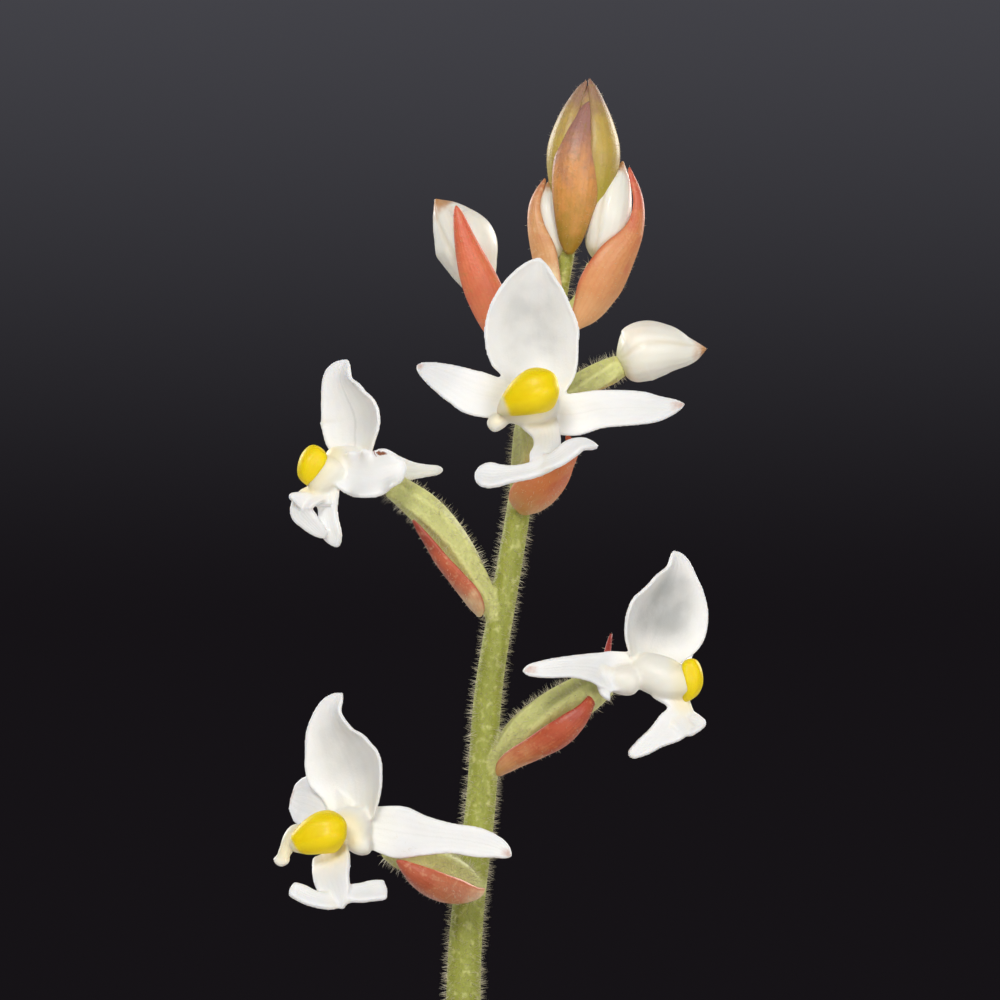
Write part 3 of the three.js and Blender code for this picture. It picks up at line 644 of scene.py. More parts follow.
@dataclass(frozen=True)
class PetalFinish:
    """Waxy white flower flesh, creamier near the heart and flushed at the tips.

    Here and in the other finishes, lumps, patches, specks and the like are widths in millimetres.
    """

    name: str = "petal"
    roughness: float = 0.48
    white: Colour = linear(251, 251, 250)
    shade: Colour = linear(238, 237, 235)
    cream: Colour = linear(247, 236, 205)
    warm: Colour = linear(255, 230, 150)
    flush: Colour = linear(206, 166, 150)
    # colour of the painted shade in the hood's hollow and along its midrib crease
    shade_grey: Colour = linear(176, 178, 176)
    scar: Colour = linear(150, 84, 50)
    lumps: float = 1.6
    mottling: float = 0.5
    patches: float = 2.2  # patches of painted shade in the hood's hollow
    patchy: Span = (0.35, 0.65, 0.65, 1.0)
    # width of the painted shade along the midrib crease
    midrib: Span = (0.07, 0.0, 0.0, 0.3)
    veins: float = 3.5  # on half the width
    specks: float = 0.4
    ragged: float = 0.9  # how far the specks move the flush
    flushed: Span = (0.75, 1.8, 0.0, 0.8)
    worn: Span = (0.35, 0.6, 0.35, 1.2)
    scarred: Span = (0.3, 0.6)
    glow: Glow = (0.45, 0.5, (1.0, 0.85, 0.7))
    coat: Coat = (0.12, 0.35)
    vein_depth: Depth = (0.012, 0.5)
    lump_depth: Depth = (0.05, 0.4)
    grain: Grain = (0.16, 0.01, 0.6)

    def make(self) -> Material:
        """Builds the material.

        Returns:
            The material of the open flowers.
        """
        skin = Shader(self.name, self.roughness)
        mottle = skin.noise(self.lumps, 4)
        across = skin.mark("across")
        veins = skin.stripes(across, self.veins)
        body = skin.mix(skin.times(mottle, self.mottling), self.white, self.shade)
        # painted shade: grey patches in the hollow middle of the hood
        thin = skin.times(skin.mark("thin"), skin.fade(skin.noise(self.patches), *self.patchy))
        body = skin.mix(thin, body, self.shade_grey)
        # painted shade: a grey line along the midrib crease
        middle = skin.fade(skin.math("ABSOLUTE", across), *self.midrib)
        body = skin.mix(skin.times(middle, skin.mark("rib")), body, self.shade_grey)
        body = skin.mix(skin.mark("cream"), body, self.cream)
        body = skin.mix(skin.mark("warm"), body, self.warm)
        ragged = skin.math("ADD", skin.mark("tip"), skin.times(skin.noise(self.specks, 4), self.ragged))
        body = skin.mix(skin.fade(ragged, *self.flushed), body, self.flush)
        worn = skin.times(skin.mark("scar"), skin.fade(skin.noise(self.specks), *self.worn))
        body = skin.mix(skin.fade(worn, *self.scarred), body, self.scar)
        skin.set("Base Color", body)
        skin.glow(*self.glow)
        skin.coat(*self.coat)
        skin.bump(veins, *self.vein_depth)
        skin.bump(mottle, *self.lump_depth)
        skin.grained(*self.grain)
        return skin.material


@dataclass(frozen=True)
class CapFinish:
    """Satin yellow of the anther cap, paler where it meets the column."""

    name: str = "anther_cap"
    roughness: float = 0.5
    yellow: Colour = linear(255, 222, 6)
    deep: Colour = linear(254, 205, 4)
    cream: Colour = linear(252, 240, 200)
    lumps: float = 0.9
    mottling: float = 0.3
    ragged: float = 0.25  # how far the lumps move the cream
    creamed: Span = (0.35, 0.95)
    glow: Glow = (0.5, 0.5, (1.0, 0.75, 0.1))
    shine: float = 0.3
    coat: Coat = (0.08, 0.15)
    grain: Grain = (0.2, 0.008, 0.5)
    dents: float = 0.6
    dent_depth: Depth = (0.02, 0.5)

    def make(self) -> Material:
        """Builds the material.

        Returns:
            The material of the anther caps.
        """
        skin = Shader(self.name, self.roughness)
        mottle = skin.noise(self.lumps, 4)
        body = skin.mix(skin.times(mottle, self.mottling), self.yellow, self.deep)
        ragged = skin.math("ADD", skin.mark("cream"), skin.times(mottle, self.ragged))
        body = skin.mix(skin.fade(ragged, *self.creamed), body, self.cream)
        skin.set("Base Color", body)
        skin.glow(*self.glow)
        skin.set("Specular IOR Level", self.shine)
        skin.coat(*self.coat)
        skin.grained(*self.grain)
        skin.bump(skin.noise(self.dents, 2), *self.dent_depth)
        return skin.material


@dataclass(frozen=True)
class BudFinish:
    """Cream white bud, greenish at its foot and brown at its tip."""

    name: str = "bud"
    roughness: float = 0.45
    white: Colour = linear(252, 248, 236)
    seam: Colour = linear(232, 223, 200)
    foot: Colour = linear(205, 205, 150)
    tip: Colour = linear(198, 140, 84)
    lumps: float = 0.9
    mottling: float = 0.25
    ragged: float = 0.18  # how far the lumps move foot and tip
    seamed: Span = (0.0, -0.05, 0.0, 0.6)
    footed: Span = (0.3, 0.08, 0.0, 0.75)
    tipped: Span = (0.9, 1.06, 0.0, 0.95)
    glow: Glow = (0.35, 0.6, (1.0, 0.85, 0.6))
    coat: float = 0.15
    ribs: float = 3  # in a radian
    rib_depth: Depth = (0.02, 0.5)
    grain: Grain = (0.18, 0.012, 0.6)

    def make(self) -> Material:
        """Builds the material.

        Returns:
            The material of the buds.
        """
        skin = Shader(self.name, self.roughness)
        length = skin.mark("length")
        mottle = skin.noise(self.lumps, 4)
        ragged = skin.math("ADD", length, skin.times(mottle, self.ragged))
        body = skin.mix(skin.times(mottle, self.mottling), self.white, self.seam)
        body = skin.mix(skin.fade(skin.mark("relief"), *self.seamed), body, self.seam)
        body = skin.mix(skin.fade(ragged, *self.footed), body, self.foot)
        body = skin.mix(skin.fade(ragged, *self.tipped), body, self.tip)
        skin.set("Base Color", body)
        skin.glow(*self.glow)
        skin.set("Coat Weight", self.coat)
        skin.bump(skin.stripes(skin.mark("round"), self.ribs), *self.rib_depth)
        skin.grained(*self.grain)
        return skin.material


@dataclass(frozen=True)
class BractFinish:
    """A bract: pale foot, coloured blade, darker tip and rim, and fine lengthwise veins."""

    name: str
    foot: Colour
    blade: Colour
    tip: Colour
    inner: Colour
    rim: Colour
    turn: float = 0.5  # share of the length at which the tip's colour begins
    spread: float = 0.5  # share of the length over which it grows
    roughness: float = 0.5
    lumps: float = 0.8
    ragged: float = 0.5  # how far the lumps move the colours
    footed: Span = (0.02, 0.42)
    inner_share: float = 0.6
    rimmed: Span = (0.8, 1.0, 0.0, 0.75)
    veins: float = 5.5  # on half the width
    veined: Span = (0.6, 1.0, 0.0, 0.1)
    specks: float = 0.4
    speckled: Span = (0.52, 0.72, 0.0, 0.35)
    blots: float = 2.2
    blotted: Span = (0.5, 0.68, 0.0, 0.45)
    blots_from: Span = (0.2, 0.5)
    glow: Glow = (0.25, 0.5, (1.0, 0.5, 0.3))
    coat: Coat = (0.2, 0.3)
    vein_depth: Depth = (0.012, 0.5)
    lump_depth: Depth = (0.06, 0.5)
    grain: Grain = (0.2, 0.03, 0.6)

    def make(self) -> Material:
        """Builds the material.

        Returns:
            The material of a bract.
        """
        skin = Shader(self.name, self.roughness)
        length = skin.mark("length")
        across = skin.mark("across")
        mottle = skin.noise(self.lumps, 5)
        uneven = skin.times(skin.math("SUBTRACT", mottle, NOISE_MIDDLE), self.ragged)
        ragged = skin.math("ADD", length, uneven)
        body = skin.mix(skin.fade(ragged, *self.footed), self.foot, self.blade)
        body = skin.mix(skin.fade(ragged, self.turn, self.turn + self.spread), body, self.tip)
        body = skin.mix(skin.times(skin.mark("upper"), self.inner_share), body, self.inner)
        edge = skin.math("ABSOLUTE", across)
        body = skin.mix(skin.fade(edge, *self.rimmed), body, self.rim)
        veins = skin.stripes(across, self.veins)
        body = skin.mix(skin.fade(veins, *self.veined), body, self.rim)
        pale = skin.fade(skin.noise(self.specks), *self.speckled)
        body = skin.mix(pale, body, self.foot)
        blotch = skin.fade(skin.noise(self.blots), *self.blotted)
        body = skin.mix(skin.times(blotch, skin.fade(length, *self.blots_from)), body, self.tip)
        skin.set("Base Color", body)
        skin.glow(*self.glow)
        skin.coat(*self.coat)
        skin.bump(veins, *self.vein_depth)
        skin.bump(mottle, *self.lump_depth)
        skin.grained(*self.grain)
        return skin.material


@dataclass(frozen=True)
class StalkFinish:
    """Green flesh of the flower stalk and its ovaries, with pale ribs and mottling."""

    name: str = "stalk"
    roughness: float = 0.55
    green: Colour = linear(176, 180, 84)
    dark: Colour = linear(138, 144, 56)
    pale: Colour = linear(236, 236, 162)
    foot: Colour = linear(126, 92, 56)
    streaks: Point = (1900, 1900, 450)  # in a metre, along each axis
    specks: float = 0.5
    speckled: Span = (0.5, 0.75, 0.0, 0.5)
    ovary_share: float = 0.62
    ribbed: Span = (0.01, 0.06)
    rib_share: float = 0.6
    glow: Glow = (0.3, 0.6, (0.8, 1.0, 0.35))
    streak_depth: Depth = (0.08, 0.6)
    grain: Grain = (0.22, 0.04, 0.8)

    def make(self) -> Material:
        """Builds the material.

        Returns:
            The material of the stalk.
        """
        skin = Shader(self.name, self.roughness)
        streak = skin.noise(1.0, 4, skin.stretched(self.streaks))
        body = skin.mix(streak, self.dark, self.green)
        body = skin.mix(skin.fade(skin.noise(self.specks), *self.speckled), body, self.pale)
        ovary = skin.mark("ovary")
        body = skin.mix(skin.times(ovary, self.ovary_share), body, self.pale)
        rib = skin.fade(skin.mark("relief"), *self.ribbed)
        body = skin.mix(skin.times(skin.times(rib, ovary), self.rib_share), body, self.pale)
        body = skin.mix(skin.mark("low"), body, self.foot)
        skin.set("Base Color", body)
        skin.glow(*self.glow)
        skin.bump(streak, *self.streak_depth)
        skin.grained(*self.grain)
        return skin.material


@dataclass(frozen=True)
class HairFinish:
    """Clear, pale hairs."""

    name: str = "hair"
    roughness: float = 0.35
    pale: Colour = linear(235, 232, 214)
    warm: Colour = linear(205, 190, 150)
    lumps: float = 0.7
    clear: float = 0.25

    def make(self) -> Material:
        """Builds the material.

        Returns:
            The material of the hairs.
        """
        skin = Shader(self.name, self.roughness)
        skin.set("Base Color", skin.mix(skin.noise(self.lumps, 2), self.pale, self.warm))
        skin.set("Transmission Weight", self.clear)
        return skin.material


@dataclass(frozen=True)
class LeafFinish:
    """Velvet leaf: near black above with a copper net of veins, wine red below."""

    name: str = "leaf"
    roughness: float = 0.5
    velvet: Colour = linear(38, 34, 26)
    wine: Colour = linear(58, 24, 26)
    copper: Colour = linear(190, 106, 80)
    net: Colour = linear(116, 62, 42)
    under: Colour = linear(122, 46, 52)
    vein_step: float = 0.25  # between main veins, as a share of the half width
    vein: float = 0.22  # half width of a main vein
    vein_edge: Span = (1.35, 0.45)
    vein_share: float = 0.85
    midrib: float = 0.12  # share of the half width on which the middle vein is wider
    mesh: float = 0.36  # small veins in a millimetre of the leaf's own measure
    mesh_narrow: float = 0.62  # how much closer they are across the leaf
    mesh_edge: Span = (0.09, 0.02)
    mesh_share: float = 0.55
    lumps: float = 5
    mottled: Span = (0.35, 0.7)
    stalked: Span = (0.0, 1.0, 0.0, 0.8)
    below_share: float = 0.4
    sides: Span = (0.4, 0.6)
    sheen: Coat = (0.25, 0.4)
    sheen_tint: Colour = linear(230, 160, 130)
    coat: Coat = (0.08, 0.45)
    vein_depth: Depth = (-0.25, 0.7)
    mesh_depth: Depth = (-0.08, 0.5)
    grain: Grain = (0.35, 0.05, 0.7)

    def main_veins(self, skin: Shader, across: Socket, half: Socket) -> Socket:
        """Evenly spaced lengthwise veins, the middle one wider.

        Args:
            skin: the material in the making.
            across: place across the leaf, from -1 to 1.
            half: half the leaf's width there.

        Returns:
            1 on a vein and 0 beside it.
        """
        shares = skin.math("DIVIDE", across, self.vein_step)
        off = skin.math("ABSOLUTE", skin.math("SUBTRACT", shares, skin.math("ROUND", shares)))
        off = skin.times(skin.times(off, self.vein_step), half)
        midrib = skin.fade(skin.math("ABSOLUTE", across), self.midrib, 0.0, 0.0, self.vein)
        wide = skin.math("ADD", midrib, self.vein)
        return skin.fade(skin.math("DIVIDE", off, wide), *self.vein_edge)

    def small_veins(self, skin: Shader, across: Socket, half: Socket) -> Socket:
        """The net of small veins between the main ones.

        Args:
            skin: the material in the making.
            across: place across the leaf, from -1 to 1.
            half: half the leaf's width there.

        Returns:
            1 on a vein and 0 beside it.
        """
        flat = skin.add("ShaderNodeCombineXYZ")
        skin.put(flat.inputs["X"], skin.mark("reach"))
        skin.put(flat.inputs["Y"], skin.times(skin.times(across, half), self.mesh_narrow))
        cells = skin.cells(self.mesh, "DISTANCE_TO_EDGE", flat.outputs[0])
        return skin.fade(cells, *self.mesh_edge)

    def make(self) -> Material:
        """Builds the material.

        Returns:
            The material of the leaves.
        """
        skin = Shader(self.name, self.roughness)
        across, half = skin.mark("across"), skin.mark("half")
        main = self.main_veins(skin, across, half)
        cross = self.small_veins(skin, across, half)
        mottle = skin.noise(self.lumps, 4)
        body = skin.mix(skin.fade(mottle, *self.mottled), self.velvet, self.wine)
        body = skin.mix(skin.times(cross, self.mesh_share), body, self.net)
        body = skin.mix(skin.times(main, self.vein_share), body, self.copper)
        body = skin.mix(skin.fade(skin.mark("stalk"), *self.stalked), body, self.under)
        below = skin.mix(mottle, self.under, self.wine)
        below = skin.mix(skin.times(main, self.below_share), below, self.net)
        skin.set("Base Color", skin.mix(skin.fade(skin.mark("upper"), *self.sides), below, body))
        weight, roughness = self.sheen
        skin.set("Sheen Weight", weight)
        skin.set("Sheen Roughness", roughness)
        skin.set("Sheen Tint", self.sheen_tint)
        skin.coat(*self.coat)
        skin.bump(main, *self.vein_depth)
        skin.bump(cross, *self.mesh_depth)
        skin.grained(*self.grain)
        return skin.material


@dataclass(frozen=True)
class StemFinish:
    """Fleshy reddish brown stem with fine lengthwise streaks."""

    name: str = "stem"
    roughness: float = 0.42
    red: Colour = linear(120, 62, 44)
    brown: Colour = linear(74, 44, 32)
    green: Colour = linear(104, 96, 56)
    streaks: Point = (900, 900, 120)  # in a metre, along each axis
    streaked: Span = (0.3, 0.7)
    patches: float = 6
    patchy: Span = (0.5, 0.8, 0.0, 0.7)
    ringed: Span = (0.02, 0.06, 0.0, 0.6)
    glow: Glow = (0.15, 0.8, (1.0, 0.4, 0.25))
    coat: Coat = (0.25, 0.3)
    streak_depth: Depth = (0.15, 0.5)
    grain: float = 0.6
    grain_depth: Depth = (0.08, 0.5)

    def make(self) -> Material:
        """Builds the material.

        Returns:
            The material of the stems.
        """
        skin = Shader(self.name, self.roughness)
        streak = skin.noise(1.0, 4, skin.stretched(self.streaks))
        body = skin.mix(skin.fade(streak, *self.streaked), self.brown, self.red)
        body = skin.mix(skin.fade(skin.noise(self.patches, 2), *self.patchy), body, self.green)
        body = skin.mix(skin.fade(skin.mark("relief"), *self.ringed), body, self.brown)
        skin.set("Base Color", body)
        skin.glow(*self.glow)
        skin.coat(*self.coat)
        skin.bump(streak, *self.streak_depth)
        skin.bump(skin.noise(self.grain), *self.grain_depth)
        return skin.material


@dataclass(frozen=True)
class ClayFinish:
    """Fired clay, a little uneven, with a pale bloom low down and in patches."""

    name: str = "clay"
    roughness: float = 0.85
    clay: Colour = linear(186, 106, 68)
    dark: Colour = linear(150, 80, 50)
    bloom: Colour = linear(214, 186, 164)
    # colour to which the inside of the pot darkens
    inside_tone: Colour = linear(112, 60, 40)
    lumps: float = 24
    mottled: Span = (0.3, 0.7)
    rings: Point = (12, 12, 420)  # in a metre, along each axis
    ring_share: float = 0.35
    bloom_low: Span = (0.05, 0.0, 0.0, 0.35)  # by the height in metres
    bloom_broad: Span = (0.45, 0.62)
    bloom_fine: Span = (0.4, 0.7)
    bloom_share: float = 0.55
    inside_share: float = 0.7
    specks: float = 1.6
    speckled: Span = (0.12, 0.2, 0.5, 0.0)
    pits: float = 2.2
    pitted: Span = (0.08, 0.2)
    grain: float = 1.2
    ring_depth: Depth = (0.12, 0.6)
    grain_depth: Depth = (0.15, 0.6)
    pit_depth: Depth = (0.2, 0.6)

    def make(self) -> Material:
        """Builds the material.

        Returns:
            The material of the pot.
        """
        skin = Shader(self.name, self.roughness)
        broad = skin.noise(self.lumps, 5)
        fine = skin.noise(self.grain, 4)
        rings = skin.noise(1.0, where=skin.stretched(self.rings))
        body = skin.mix(skin.fade(broad, *self.mottled), self.clay, self.dark)
        body = skin.mix(skin.times(rings, self.ring_share), body, self.dark)
        parts = skin.add("ShaderNodeSeparateXYZ")
        skin.put(parts.inputs[0], skin.place)
        low = skin.fade(parts.outputs["Z"], *self.bloom_low)
        patch = skin.times(skin.fade(broad, *self.bloom_broad), skin.fade(fine, *self.bloom_fine))
        body = skin.mix(skin.times(skin.math("ADD", low, patch), self.bloom_share), body, self.bloom)
        # darker on the inside of the pot
        body = skin.mix(skin.times(skin.mark("inside"), self.inside_share), body, self.inside_tone)
        body = skin.mix(skin.fade(skin.cells(self.specks), *self.speckled), body, self.dark)
        skin.set("Base Color", body)
        skin.bump(rings, *self.ring_depth)
        skin.bump(fine, *self.grain_depth)
        skin.bump(skin.fade(skin.cells(self.pits), *self.pitted), *self.pit_depth)
        return skin.material


@dataclass(frozen=True)
class CrumbFinish:
    """Rough grains of the potting mix, from one colour to another."""

    name: str
    first: Colour
    second: Colour
    size: float
    roughness: float = 0.9
    mottled: Span = (0.35, 0.65)
    lump_depth: Depth = (0.5, 0.8)  # here and below, the depth is a share of the size
    grain: float = 0.25  # of the size
    grain_depth: Depth = (0.12, 0.6)

    def make(self) -> Material:
        """Builds the material.

        Returns:
            The material of the mix or of a kind of grain.
        """
        skin = Shader(self.name, self.roughness)
        lumps = skin.noise(self.size, 6)
        skin.set("Base Color", skin.mix(skin.fade(lumps, *self.mottled), self.first, self.second))
        skin.bump(lumps, self.lump_depth[0] * self.size, self.lump_depth[1])
        grain = skin.noise(self.grain * self.size, 4)
        skin.bump(grain, self.grain_depth[0] * self.size, self.grain_depth[1])
        return skin.material


class Tree:
    """A Geometry Nodes tree with named inputs, run once on a mesh."""

    def __init__(self, name: str, **numbers: float | int) -> None:
        """Starts a tree that takes and gives a mesh, with a named input for each number."""
        self.group = bpy.data.node_groups.new(name, "GeometryNodeTree")
        face = self.group.interface
        face.new_socket("Geometry", in_out="INPUT", socket_type="NodeSocketGeometry")
        face.new_socket("Geometry", in_out="OUTPUT", socket_type="NodeSocketGeometry")
        self.values: dict[str, float | int] = {}
        for label, value in numbers.items():
            kind = "NodeSocketInt" if isinstance(value, int) else "NodeSocketFloat"
            socket = face.new_socket(label, in_out="INPUT", socket_type=kind)
            self.values[socket.identifier] = value
        self.source = self.group.nodes.new("NodeGroupInput")
        self.end = self.group.nodes.new("NodeGroupOutput")

    def given(self, name: str) -> Socket:
        """The socket of a named input."""
        return self.source.outputs[name]

    def add(self, kind: str, inputs: dict, **settings: object) -> bpy.types.Node:
        """Adds a node.

        Args:
            kind: its type.
            inputs: what its inputs are linked or set to, by name or number.
            settings: its other settings.

        Returns:
            The node.
        """
        node = self.group.nodes.new(kind)
        for name, value in settings.items():
            setattr(node, name, value)
        for key, value in inputs.items():
            if isinstance(value, Socket):
                self.group.links.new(value, node.inputs[key])
            else:
                node.inputs[key].default_value = value
        return node

    def vector(self, operation: str, inputs: dict) -> Socket:
        """A sum of vectors."""
        return self.add("ShaderNodeVectorMath", inputs, operation=operation).outputs[0]

    def random(self, low: Point, high: Point) -> Socket:
        """Three random numbers for each point."""
        inputs = {0: low, 1: high, "Seed": self.given("Seed")}
        return self.add("FunctionNodeRandomValue", inputs, data_type="FLOAT_VECTOR").outputs[0]

    def strewn(self, density: Socket) -> bpy.types.Node:
        """Points strewn over the mesh."""
        inputs = {"Mesh": self.given("Geometry"), "Density": density, "Seed": self.given("Seed")}
        return self.add("GeometryNodeDistributePointsOnFaces", inputs)

    def copies(self, points: bpy.types.Node, thing: bpy.types.Node, turn: Socket, size: Socket) -> Socket:
        """A turned and scaled copy of a thing on every point."""
        inputs = {"Points": points.outputs["Points"], "Instance": thing.outputs["Mesh"]}
        inputs |= {"Rotation": turn, "Scale": size}
        return self.add("GeometryNodeInstanceOnPoints", inputs).outputs[0]

    def run(self, mesh: Mesh, made: Socket, material: Material) -> Mesh:
        """Runs the tree on a mesh.

        Args:
            mesh: what the tree is given.
            made: what it makes.
            material: the finish of that.

        Returns:
            What was made, as a plain mesh.
        """
        real = self.add("GeometryNodeRealizeInstances", {"Geometry": made})
        dressed = self.add("GeometryNodeSetMaterial", {"Geometry": real.outputs[0], "Material": material})
        self.group.links.new(dressed.outputs[0], self.end.inputs[0])
        thing = linked("scratch", mesh)
        modifier = thing.modifiers.new(self.group.name, "NODES")
        modifier.node_group = self.group
        for identifier, value in self.values.items():
            modifier[identifier] = value
        return evaluated(thing)


@dataclass
class Fuzz:
    """Fine hairs that stand on a form, each a slim three-sided needle."""

    density: float  # a square millimetre, where the mark `fuzz` is 1
    length: float
    radius: float
    lean: float
    seed: int = SEED
    shortest: float = 0.45  # of the length
    longest: float = 1.15

    def grown(self, form: Form, material: Material) -> Mesh:
        """Grows the hairs.

        Args:
            form: what they stand on, with the mark `fuzz`.
            material: their finish.

        Returns:
            The hairs alone, in metres.
        """
        tree = Tree(
            "fuzz", Density=self.density / METRE**2, Length=self.length * METRE,
            Radius=self.radius * METRE, Lean=self.lean, Seed=self.seed,
        )
        fuzz = tree.add("GeometryNodeInputNamedAttribute", {"Name": "fuzz"}, data_type="FLOAT")
        factors = {0: tree.given("Density"), 1: fuzz.outputs[0]}
        density = tree.add("ShaderNodeMath", factors, operation="MULTIPLY")
        points = tree.strewn(density.outputs[0])
        sizes = {"Vertices": 3, "Radius Bottom": tree.given("Radius"), "Depth": tree.given("Length")}
        needle = tree.add("GeometryNodeMeshCone", sizes, fill_type="NONE")
        stray = tree.random((-1, -1, -1), (1, 1, 1))
        leaned = tree.vector("SCALE", {0: stray, "Scale": tree.given("Lean")})
        aim = tree.vector("ADD", {0: points.outputs["Normal"], 1: leaned})
        turn = tree.add("FunctionNodeAlignRotationToVector", {"Vector": aim}, axis="Z")
        limits = {2: self.shortest, 3: self.longest, "Seed": tree.given("Seed")}
        size = tree.add("FunctionNodeRandomValue", limits)
        made = tree.copies(points, needle, turn.outputs[0], size.outputs[1])
        return tree.run(form.mesh("fuzz", METRE), made, material)


@dataclass
class Scatter:
    """Loose grains strewn over a form: flat chips or round beads, roughened."""

    density: float  # a square millimetre
    size: float
    flat: Point
    rough: float
    rounds: int
    seed: int = SEED
    tilt: float = 0.5  # in radians
    smallest: float = 0.5  # of the size
    lumps: float = 0.9  # on one grain

    def strewn(self, form: Form, material: Material) -> Mesh:
        """Strews the grains.

        Args:
            form: what they lie on.
            material: their finish.

        Returns:
            The grains alone, in metres.
        """
        tree = Tree(
            "scatter", Density=self.density / METRE**2, Size=self.size * METRE,
            Rough=self.rough * METRE, Seed=self.seed,
        )
        points = tree.strewn(tree.given("Density"))
        sizes = {"Radius": tree.given("Size"), "Subdivisions": self.rounds}
        grain = tree.add("GeometryNodeMeshIcoSphere", sizes)
        turn = tree.random((-self.tilt, -self.tilt, -math.pi), (self.tilt, self.tilt, math.pi))
        size = tree.random(tuple(self.smallest * part for part in self.flat), self.flat)
        real = tree.add("GeometryNodeRealizeInstances", {"Geometry": tree.copies(points, grain, turn, size)})
        scale = self.lumps / (self.size * METRE)
        lumps = tree.add("ShaderNodeTexNoise", {"Scale": scale, "Detail": 2.0})
        centred = tree.vector("SUBTRACT", {0: lumps.outputs["Color"], 1: (NOISE_MIDDLE,) * 3})
        moved = tree.vector("SCALE", {0: centred, "Scale": tree.given("Rough")})
        shaped = tree.add("GeometryNodeSetPosition", {"Geometry": real.outputs[0], "Offset": moved})
        return tree.run(form.mesh("ground", METRE), shaped.outputs[0], material)


@dataclass
class Pot:
    """Plain clay pot with a collar and drain holes."""

    height: float = 85.0
    base_radius: float = 34.0
    top_radius: float = 47.0
    collar_height: float = 18.0
    collar_step: float = 3.0
    wall: float = 4.5
    floor: float = 6.0
    edge: float = 1.5
    drains: int = 3
    drain_radius: float = 4.0
    drain_ring: float = 18.0
    drain_turn: float = 0.25  # of the way from one hole to the next
    drain_sides: int = 40
    past: float = 2.0  # how far a cutter stands out of the floor
    facets: int = 144
    corner_points: int = 7
    corner_turn: float = 82.0  # in degrees
    skin_rings: int = 24
    collar_rings: int = 8
    inner_rings: int = 20
    wobble: float = 0.0025  # of the radius
    sharp: float = 35.0  # angle in degrees from which an edge stays sharp
    finish: ClayFinish = ClayFinish()

    def radius(self, z: float) -> float:
        """Outer radius of the tapered wall at a height."""
        return self.base_radius + (self.top_radius - self.base_radius) * z / self.height

    def corner(self, r: float, z: float, start: float) -> list[tuple[float, float]]:
        """Points of a rounded corner about its middle, from an angle in degrees."""
        angles = np.radians(start + self.corner_turn * np.linspace(0, 1, self.corner_points))
        return [(r + self.edge * math.cos(a), z + self.edge * math.sin(a)) for a in angles]

    def profile(self) -> list[tuple[float, float]]:
        """Outlines the wall.

        Returns:
            Radius and height of points from the middle of the foot to the middle of the floor.
        """
        collar = self.height - self.collar_height
        step = self.collar_step
        lip = self.radius(self.height) + step
        inner = self.radius(self.height) - self.wall
        edge = self.edge
        line = [(0, 0), (self.base_radius * 0.5, 0)]
        line += self.corner(self.radius(0) - edge, edge, -90)
        line += [(self.radius(z), z) for z in np.linspace(4, collar - 1, self.skin_rings)]
        line += [(self.radius(collar) + 0.4, collar)]
        line += self.corner(self.radius(collar) + step - edge, collar + edge, -90)
        top = self.height - 3
        line += [(self.radius(z) + step, z) for z in np.linspace(collar + 3, top, self.collar_rings)]
        line += self.corner(lip - edge - 0.1, self.height - edge, 8)
        line += self.corner(inner + edge, self.height - edge, 90)
        heights = np.linspace(top, self.floor + 2, self.inner_rings)
        line += [(self.radius(z) - self.wall, z) for z in heights]
        line += [(self.radius(self.floor) - self.wall - edge, self.floor), (0, self.floor)]
        return line

    def form(self) -> Form:
        """Turns the body.

        Returns:
            The pot without its drain holes, with the mark `inside`.
        """
        line = np.array(self.profile())
        turn = circle(self.facets)
        rings = line[1:-1]
        wave = np.sin(2 * turn + 0.6)[:, None] * smooth_step(0, 60, rings[:, 1])[None]
        radius = rings[None, :, 0] * (1 + self.wobble * wave - self.wobble)
        x, y = radius * np.cos(turn)[:, None], radius * np.sin(turn)[:, None]
        points = np.stack([x, y, np.broadcast_to(rings[:, 1], x.shape)], -1).reshape(-1, 3)
        points = np.vstack([points, [(0, 0, line[0, 1]), (0, 0, line[-1, 1])]])
        count = len(rings)
        foot, floor = len(points) - 2, len(points) - 1
        faces = []
        for i in range(self.facets):
            a = i * count
            b = (i + 1) % self.facets * count
            faces += [(a + k, b + k, b + k + 1, a + k + 1) for k in range(count - 1)]
            faces.append((foot, b, a))
            faces.append((floor, a + count - 1, b + count - 1))
        top = int(np.argmax(line[:, 1])) + self.corner_points + 1
        inside = np.concatenate([np.tile((np.arange(count) > top) * 1.0, self.facets), [0.0, 1.0]])
        return Form(points, faces, {"inside": inside})

    def build(self) -> None:
        """Cuts the drain holes and shows the pot."""
        thing = linked("scratch", self.form().mesh("clay_pot"))
        cutters = []
        for i in range(self.drains):
            turn = 2 * math.pi * (i + self.drain_turn) / self.drains
            x, y = self.drain_ring * math.cos(turn), self.drain_ring * math.sin(turn)
            hole = Rod([(x, y, -self.past), (x, y, self.floor + self.past)], [self.drain_radius] * 2)
            cutters.append(linked("scratch", rod(hole, 2, self.drain_sides).mesh("drain")))
            cut = thing.modifiers.new("drain", "BOOLEAN")
            cut.solver = "MANIFOLD"
            cut.operation = "DIFFERENCE"
            cut.object = cutters[-1]
        mesh = evaluated(thing)
        for cutter in cutters:
            bpy.data.objects.remove(cutter)
        mesh.transform(Matrix.Scale(METRE, 4))
        piece = place("pot", mesh, self.finish.make(), "clay", "clay_pot")
        piece.data.set_sharp_from_angle(angle=math.radians(self.sharp))


